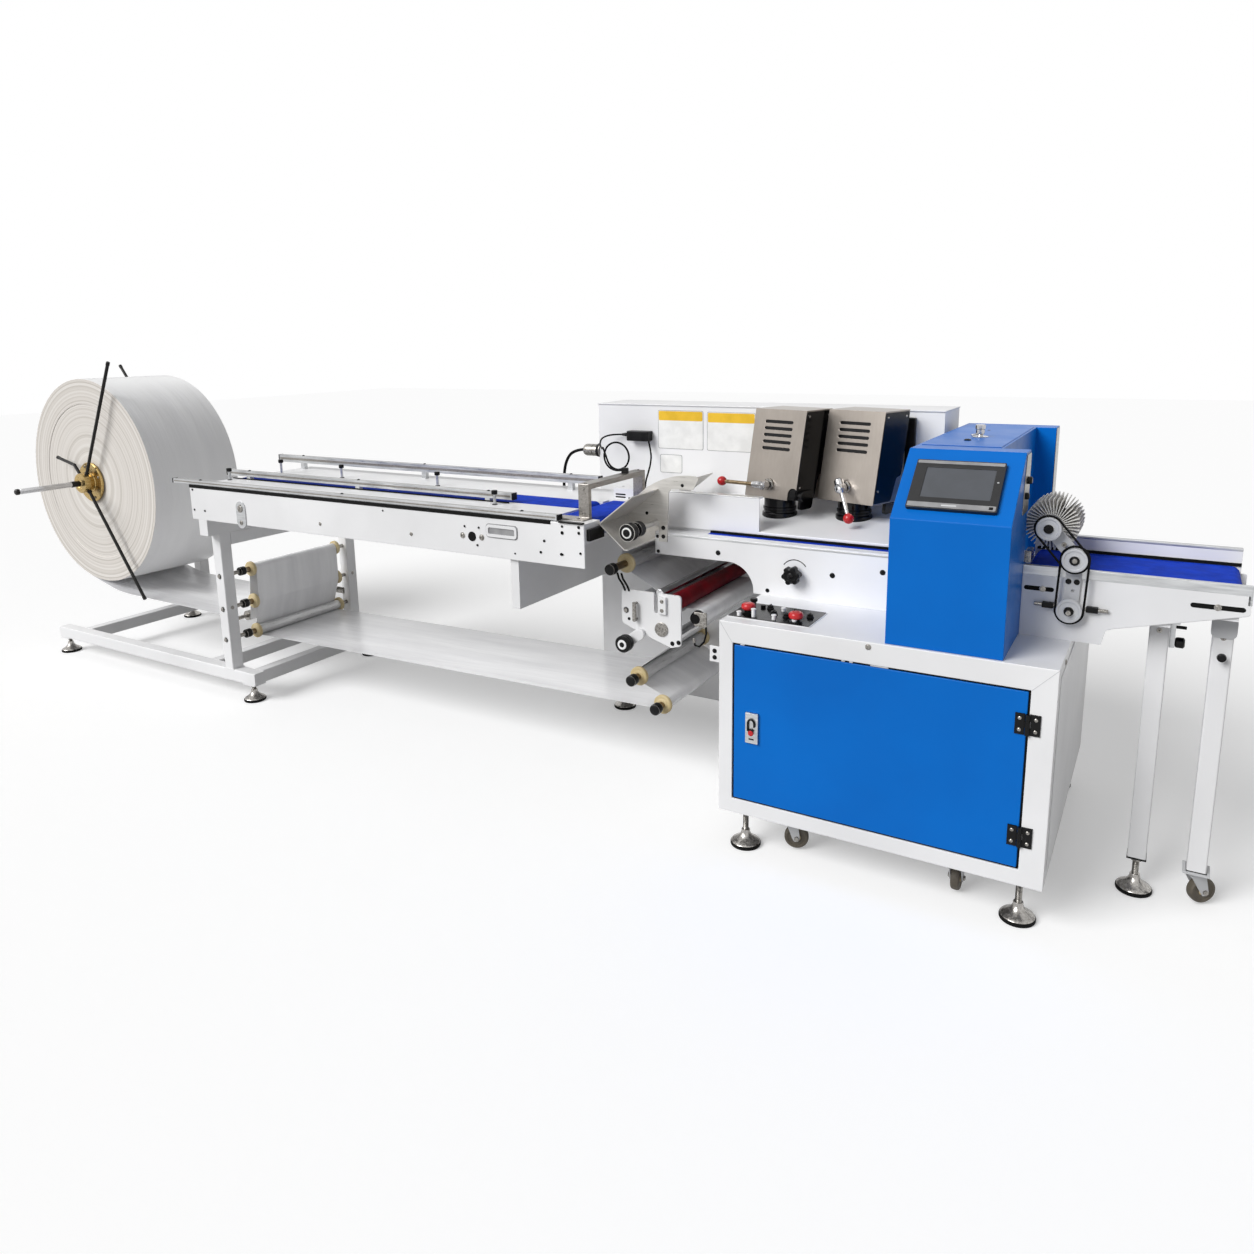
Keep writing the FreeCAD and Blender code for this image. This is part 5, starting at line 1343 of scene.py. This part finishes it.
def barePlate(x0, x1, z0, z1):
    rim = coloured(sheetPiece(rounded(oblong(x0, x1, z0, z1), 7, 4), onFront(housingFront), (0, -0.6, 0),
                              0.2), "greyPlastic")
    face = sheetPiece(rounded(oblong(x0 + 1.6, x1 - 1.6, z0 + 1.6, z1 - 1.6), 6, 4),
                      onFront(housingFront), (0, -0.9, 0), 0.2)
    return joined([rim, coloured(face, "platePale")])


def makeHousingDetails():
    pieces = [barePlate(-563, -389, 1012, 1145), barePlate(-375, -199, 1012, 1143),
              barePlate(-556, -470, 928, 992)]
    for x0, x1, low, high in ((-560, -392, 1110, 1142), (-372, -202, 1108, 1140)):
        pieces.append(inlay(rounded(oblong(x0, x1, low, high), 5, 3), 707.1, "yellowPaint", 0.25))
    finishPiece(pieces, "housingPlates")
    duct = boxPiece((291, 690, 880), (320, housingFront, 1142), 2)
    screws = [turnedPiece([(5, 0), (5, 2), (3.6, 3), (1.4, 3)], (housingLeft, 726, z), leftFace, 24)
              for z in (1050, 900)]
    finishPiece([duct] + screws, "housingDuct", finish="blackPlastic")
    seams = [boxPiece((-806, 707.6, 1157.4), (401, 708.2, 1160)),
             boxPiece((-1, 707.6, 872), (1, 708.2, 1157))]
    finishPiece(seams, "housingSeams", finish="greyPaint")
    backs = [boltHead((x, backSheet, z), backFace, 4.5, 2.4) for x in (-744, -400, -56)
             for z in (178, 640, 1102)]
    finishPiece(backs, "housingBackScrews", finish="turnedSteel")


makeHousingDetails()


# feed unit: plate with notch, disc, handle, hand wheel, spacers and three rollers

def makeFeedUnit():
    outline = rounded([(-418, 645), (-216, 645), (-216, 491), (-250, 481), (-300, 497), (-418, 537)], 12, 4)
    plate = sheetPiece(outline, onFront(208), (0, -8, 0))
    cutBy(plate, sheetPiece(stadium((-299, 590), (-299, 700), 14, 6), onFront(212), (0, -16, 0)))
    softEdges(plate, 1.2, 2, 40)
    block = boxPiece((-289, 191, 584), (-262, 200, 637), 2)
    arm = sheetPiece(stadium((-352, 512), (-385, 488), 34), onFront(198), (0, -13, 0), 3)
    ring = turnedPiece([(10.6, 0), (14.6, 0), (15.2, 1), (14.6, 2), (10.6, 2)], (-385, 142.6, 488),
                       frontFace, 40)
    white = coloured([plate, block, arm, ring], "whitePaint")
    wheel = turnedPiece([(8, 0), (23, 0), (26, 3), (26, 8), (24, 10), (26, 12), (26, 24), (24, 30),
                         (10, 30.6), (10, 36)], (-385, 142.4, 488), backFace, 48)
    dark = [wheel, turnedPiece([(8, 0), (8, 2.4), (5, 3.4)], (-385, 142.6, 488), frontFace, 32),
            turnedPiece([(5, 0), (5, 0.6)], (-393, feedFront, 553), frontFace, 24),
            boltHead((-245, feedFront, 496), frontFace, 4.6, 3.4),
            boltHead((-224, feedFront, 502), frontFace, 4.6, 3.4)]
    dark = coloured(dark, "blackPlastic")
    disc = turnedPiece([(21, -1), (22, 0), (22, 3), (20, 4), (17, 4), (16, 2.6), (7, 2.6), (6, 4),
                        (3, 4.2)], (-281, feedFront, 535), frontFace, 48)
    handle = [rodPiece((-366, 186, 552), (-366, 186, 612), 6.5, 24, 2),
              rodPiece((-366, feedFront, 557), (-366, 186, 557), 4, 20),
              rodPiece((-366, feedFront, 607), (-366, 186, 607), 4, 20)]
    metal = [disc, hexHead((-403, feedFront, 579), frontFace, 7, 4)] + handle
    metal += [boltHead((-275, 191, z), frontFace, 4, 2.6) for z in (596, 624)]
    metal = coloured(metal, "turnedSteel")
    spacers = [turnedPiece([(14, 0), (14, 5), (12, 6), (12, 496), (13, 500)], (x, 208, z), backFace, 32)
               for x, z in ((-388, 606), (-350, 524), (-262, 508))]
    spacers = coloured(spacers, "chrome")
    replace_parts(finishPiece([white, dark, metal, spacers], "feedUnit"), "feed_frame")

    red = turnedPiece([(8, 0), (24, 1), (25, 3), (25, 494), (24, 498)], (-238, 209, 622), backFace, 48)
    press = turnedPiece([(12, 0), (20.5, 0.6), (22, 2.4), (22, 460), (20, 463)], (-180, 245, 575),
                        backFace, 48)
    end = turnedPiece([(14, -24), (18, -21), (19.6, -15), (19.6, -3), (21.6, -2.4), (21.6, 0.4),
                       (12, 0.6)], (-180, 245, 575), backFace, 40)
    steel = turnedPiece([(12, 0), (14, 1), (14, 498)], (-292, 209, 640), backFace, 40)
    rollers = joined([coloured(red, "redRubber"), coloured(press, "rollerTube"),
                      coloured(end, "blackRubber"), coloured(steel, "chrome")])
    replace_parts(finishPiece(rollers, "feedRollers"), "feed_rollers")

    hook = roundLoop([(-150, 232, 560), (-146, 226, 534), (-150, 220, 510), (-164, 217, 494),
                      (-178, 217, 496), (-182, 219, 506)], 3, "rollerHook", closed=False)
    tip = coloured(turnedPiece([(4, 0), (4.6, 1), (4.6, 12), (3.4, 14)], (-182, 219, 503), topFace, 20),
                   "turnedSteel")
    arm = coloured(boxPiece((-186, 222, 553), (-144, 230, 597), 3), "turnedSteel")
    finishPiece([coloured(hook, "blackRubber"), tip, arm], "rollerHook")
    straps = [roundLoop([(-430 + k, 196, 694), (-424 + k, 196, 676), (-412 + k, 198, 658),
                         (-405 + k, 200, 640)], 3.2, "strap", closed=False) for k in (0, 14)]
    finishPiece(straps, "feedStraps", finish="blackRubber")
    plate = coloured(boxPiece((-28, 1, 540), (0, 5, 584), 1.4), "whitePaint")
    screws = coloured([boltHead((-13, 1, z), frontFace, 4.2, 3) for z in (571, 553)], "blackPlastic")
    finishPiece([plate, screws], "cabinetBracket")


makeFeedUnit()
print("feed unit made")


# forming wheel and disc, wing screws, bed bolts

def makeFormingDetails():
    x, z = -338, 842
    tyre = turnedPiece([(8, -0.6), (24, -0.6), (26.4, 1.6), (26.4, 24), (24.6, 26.4), (10, 26.4)],
                       (x, 102, z), backFace, 56)
    knurl = turnedPiece([(10, -0.4), (21, -0.4), (22.4, 1), (22.4, 23), (21, 24.4), (8.6, 24.4)],
                        (x, 152, z), backFace, 48)
    ring = coloured(turnedPiece([(11.6, 0), (15.4, 0), (16, 1.2), (15.4, 2.2), (11.6, 2.2)],
                                (x, 101.6, z), frontFace, 48), "platePale")
    hub = turnedPiece([(11, 0.6), (11, 3.6), (9, 5), (4, 5), (3.6, 3.6)], (x, 101.6, z), frontFace, 36)
    wheel = joined([coloured([tyre, knurl, hub], "blackPlastic"), ring])
    finishPiece(wheel, "formingWheel")
    bolts = [boltHead((-316, 281, 827), frontFace, 4.4, 3),
             boltHead((-372, 281, 868), frontFace, 3.4, 2.4),
             boltHead((-316, 281, 800), frontFace, 4.4, 3),
             boltHead((-251, 281, 960), frontFace, 3.4, 2.4)]
    bolts += [boltHead((bx, bedFront, bz), frontFace, r, 3)
              for bx, bz, r in ((-338, 798, 3.6), (-336, 752, 3.6), (-136, 767, 5), (210, 738, 5),
                                (348, 762, 5), (20, 672, 4), (400, 672, 4))]
    finishPiece(bolts, "bedBolts", finish="blackPlastic")
    arc = []
    for radius, turns in ((41, range(35, 146, 10)), (38.4, range(145, 34, -10))):
        arc += [(101 + radius * math.cos(math.radians(a)), 731 + radius * math.sin(math.radians(a)))
                for a in turns]
    # black strip under the deck's front edge: painted shadow of the gap between the deck and the belt
    gap = boxPiece((-190, 345.5, 811.4), (432, 350.4, 817.6))
    finishPiece([coloured(gap, "blackRubber"), inlay(arc, bedFront, "blackRubber", 0.3)], "bedShadowLineAndArc")
    edge = boxPiece((-345, 283.6, 803.5), (432, 285.2, 808.6), 0.5)
    lip = boxPiece((-332, 349, 925), (-36, 381, 927.6), 0.8)
    finishPiece([edge, lip], "bedEdge", finish="aluminium")


makeFormingDetails()


# outfeed: slots, adjusting screws, rails, leg fittings

def makeOutfeedDetails():
    y = outfeedFront
    dark = [inlay(stadium((712, 779), (768, 779), 11), y, "blackRubber"),
            inlay(stadium((1060, 780), (1154, 780), 11), y, "blackRubber"),
            coloured(boxPiece((707, 440.5, 832.3), (1155, 444, 840), 0.4), "blackRubber")]
    bolts = [boltHead((748, y - 0.4, 779), frontFace, 5, 3),
             boltHead((1107, y - 0.4, 780), frontFace, 5, 3)]
    for x0, x1, sleeve in ((732, 783, 750), (842, 893, 846)):
        bolts.append(rodPiece((x0, y - 7, 743), (x1, y - 7, 743), 4.2, 20, 0.8))
        dark.append(coloured(boxPiece((sleeve, y - 13, 736), (sleeve + 26, y, 750), 1.4), "blackPlastic"))
    for x in (1000, 1128):
        bolts.append(boltHead((x, 309, 690), frontFace, 4, 3))
    rail = [boxPiece((701, y - 0.6, 812), (1167.6, 245.6, 834.8), 1.4),
            boxPiece((1161, 232, 790), (1170, 245, 835), 1)]
    guard = boxPiece((701.4, 443.6, 868), (1155.4, 462.6, 875), 1.2)
    piece = joined([coloured(bolts, "turnedSteel"), coloured(rail + [guard], "aluminium")] + dark)
    finishPiece(piece, "outfeedFittings")

    plate = sheetPiece(rounded(oblong(1102, 1154, 690, 742), 14, 4), onFront(309), (0, -4, 0), 1)
    drive = [boxPiece((1022, 344, 640), (1034, 372, 742), 1.6),
             boxPiece((1022, 338, 700), (1042, 378, 712), 1.6)]
    finishPiece([coloured(plate, "greyPaint"), coloured(drive, "aluminium")], "legFittings")
    toggle = [turnedPiece([(8, 0), (12, 2), (13, 6), (13, 18), (9, 21)], (1034, 356, 652), rightFace,
                          32), rodPiece((1034, 356, 690), (1056, 356, 690), 4, 20, 1),
              turnedPiece([(4, 0), (4, 12), (9, 14), (10, 18), (9, 24), (5, 26)], (1128, 309, 648),
                          frontFace, 28), boxPiece((978, 308, 92), (1022, 352, 97), 1),
              boxPiece((1106, 308, 92), (1150, 352, 97), 1)]
    finishPiece(toggle, "legKnobs", finish="blackPlastic")


makeOutfeedDetails()
print("outfeed details made")


# casters: tyre, hub and axle nuts

casters = {
    "wheel": 33, "wide": 22, "trail": 18, "axleZ": 39, "forkHalf": 16.5,
    "places": {"front_left": (172, 96, 20), "front_right": (612, 92, 90), "back_left": (172, 812, 140),
               "back_right": (612, 816, 60), "outfeed": (1128, 330, 35)},
}


def makeCasters():
    r, wide, half = casters["wheel"], casters["wide"], casters["forkHalf"]
    for name, (x, y, turn) in casters["places"].items():
        angle = math.radians(turn)
        axis = Vector((-math.sin(angle), math.cos(angle), 0))
        hub = Vector((x + casters["trail"] * math.cos(angle), y + casters["trail"] * math.sin(angle),
                      casters["axleZ"]))
        tyre = turnedPiece([(23, 1.6), (24, 0.4), (29, 0.4), (r - 1, 3), (r, 7), (r, wide - 7),
                            (r - 1, wide - 3), (29, wide - 0.4), (24, wide - 0.4), (23, wide - 1.6)],
                           hub - axis * (wide / 2), axis, 48)
        core = turnedPiece([(4.5, 0), (10, 0), (11, 1), (11, 3), (19, 4), (21, 2), (23.4, 2),
                            (23.4, wide - 2), (21, wide - 2), (19, wide - 4), (11, wide - 3),
                            (11, wide - 1), (10, wide), (4.5, wide)], hub - axis * (wide / 2), axis, 40)
        wheel = joined([coloured(tyre, "treadBrown"), coloured(core, "creamPlastic")])
        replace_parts(finishPiece(wheel, name + "_wheel", name + "_caster_wheel"), name + "_caster_wheel")
        nuts = [turnedPiece([(6.4, -1), (7, 0), (7, 3.4), (6, 4.6)], hub + axis * half * way, axis * way,
                            6) for way in (-1, 1)]
        finishPiece(nuts, name + "_axleNuts", name + "_caster_fork", "turnedSteel")


makeCasters()
print("casters made")


# leads: the same routes as the solids, with the fittings that they end in

coil = {"x": -530, "z": 1024, "radius": 47, "back": 380, "pitch": 14, "steps": 11}
leads = {
    "sensor_lead": {
        "diameter": 6, "length": 0.778, "lay": "coiled",
        "route": [(-700, 690, 1057), (-730, 688, 1056), (-752, 670, 1052), (-755, 640, 1045),
                  (-730, 590, 1036), (-690, 530, 1030), (-645, 470, 1030), (-603, 404, 1048)],
        "end": [(-507, 361.5, 981)],
    },
    "gauge_lead": {
        "diameter": 6, "length": 0.259, "lay": "hanging",
        "route": [(-592, 690, 1035.5), (-579, 685, 997), (-551, 630, 970), (-525, 565, 945), (-507, 515, 926),
                  (-503, 503, 906)],
        "end": [],
    },
    "supply_lead": {
        "diameter": 11, "length": 0.470, "lay": "hanging",
        "route": [(-890, 730, 991), (-938, 731, 985), (-972, 733, 945), (-985, 735, 888), (-988, 738, 806),
                  (-980, 740, 730), (-953, 740, 673), (-910, 740, 648), (-865, 740, 647)],
        "end": [],
    },
}


def coilPoints():
    points = []
    for k in range(coil["steps"]):
        turn = math.radians(180 + 45 * k)
        points.append((coil["x"] + coil["radius"] * math.cos(turn), coil["back"] - coil["pitch"] * k / 8,
                       coil["z"] + coil["radius"] * math.sin(turn)))
    return points


def makeLeads():
    for name, lead in leads.items():
        middle = coilPoints() if lead["lay"] == "coiled" else []
        route = [spot(*point) for point in lead["route"] + middle + lead["end"]]
        line = bpy.data.curves.new(name + "_line", "CURVE")
        line.dimensions = "3D"
        line.bevel_depth = lead["diameter"] / 2000
        line.bevel_resolution = 5
        line.resolution_u = 12
        line.use_fill_caps = True
        spline = line.splines.new("NURBS")
        spline.points.add(len(route) - 1)
        for point, place in zip(spline.points, route):
            point.co = (*place, 1)
        spline.order_u = 3
        spline.use_endpoint_u = True
        line.materials.append(finishes["blackRubber"])
        cord = bpy.data.objects.new(name + "_line", line)
        bpy.context.collection.objects.link(cord)
        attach(cord, "frame")
        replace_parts(cord, name)


def socketPiece(at, bodyLong, radius):
    nut = turnedPiece([(radius + 2, 0), (radius + 3, 1), (radius + 3, 17), (radius + 1, 18),
                       (radius, 18)], at, leftFace, 10)
    body = turnedPiece([(radius - 0.4, 17.5), (radius, 19), (radius, 32), (radius - 2, 33),
                        (radius - 2, 36), (radius, 37), (radius, 18 + bodyLong - 16),
                        (radius - 3, 18 + bodyLong - 8), (7, 18 + bodyLong)], at, leftFace, 40)
    washer = turnedPiece([(radius + 8, 0), (radius + 8, 1.6), (radius + 2, 2.2)], at, leftFace, 40)
    return [coloured(nut, "blackPlastic"), coloured([body, washer], "turnedSteel")]


def makeLeadFittings():
    plug = boxPiece((-672, 672, 1037), (-585, 708, 1072), 4)
    ribs = [boxPiece((x, 671.2, 1040), (x + 2.4, 673, 1069), 0.5)
            for x in (-660, -654, -648, -612, -606, -600)]
    relief = [turnedPiece([(8, 0), (8, 6), (6.6, 8), (6.6, 14), (5.6, 15), (5.6, 21), (4.6, 22),
                           (4.4, 27)], (-672, 690, 1057), leftFace, 28),
              turnedPiece([(7, -1), (7, 0), (6, 1.2), (4, 1.2)], (-592, 690, 1037), (0, 0, -1), 24)]
    clamp = boxPiece((-506, 355.5, 972), (-484, 367.5, 990), 2)
    strap = boxPiece((-503, 354.6, 970), (-499, 368.4, 991), 0.6)
    pieces = [coloured([plug, clamp, strap] + ribs + relief, "blackPlastic")]
    pieces += socketPiece((housingLeft, 730, 991), 63, 22)
    pieces += socketPiece((housingLeft, 740, 647), 38, 18)
    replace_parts(finishPiece(pieces, "leadFittings"), "lead_fittings")


makeLeads()
makeLeadFittings()
print("leads made")


# softened edges on the folded sheet metal that keeps its CAD mesh

softNodes = ["base_cabinet", "cabinet_door", "rear_housing", "crimper_front_cover", "crimper_rear_cover",
             "bed_front_plate", "bed_deck", "infeed_side_plates", "infeed_bearers", "unwind_long_rails",
             "unwind_cross_rails", "unwind_uprights", "outfeed_sides", "outfeed_legs", "sensor_arch",
             "forming_wing", "infeed_guides"]
softening = {"weld": 0.00005, "width": 0.0016, "segments": 2, "angle": 40}


def softenNodes():
    for name in softNodes:
        node = nodes[name]
        weld = node.modifiers.new("weld", "WELD")
        weld.merge_threshold = softening["weld"]
        bevel = node.modifiers.new("bevel", "BEVEL")
        bevel.width = softening["width"]
        bevel.segments = softening["segments"]
        bevel.limit_method = "ANGLE"
        bevel.angle_limit = math.radians(softening["angle"])
        even = node.modifiers.new("evenNormals", "WEIGHTED_NORMAL")
        even.keep_sharp = True


softenNodes()
print("node edges softened")
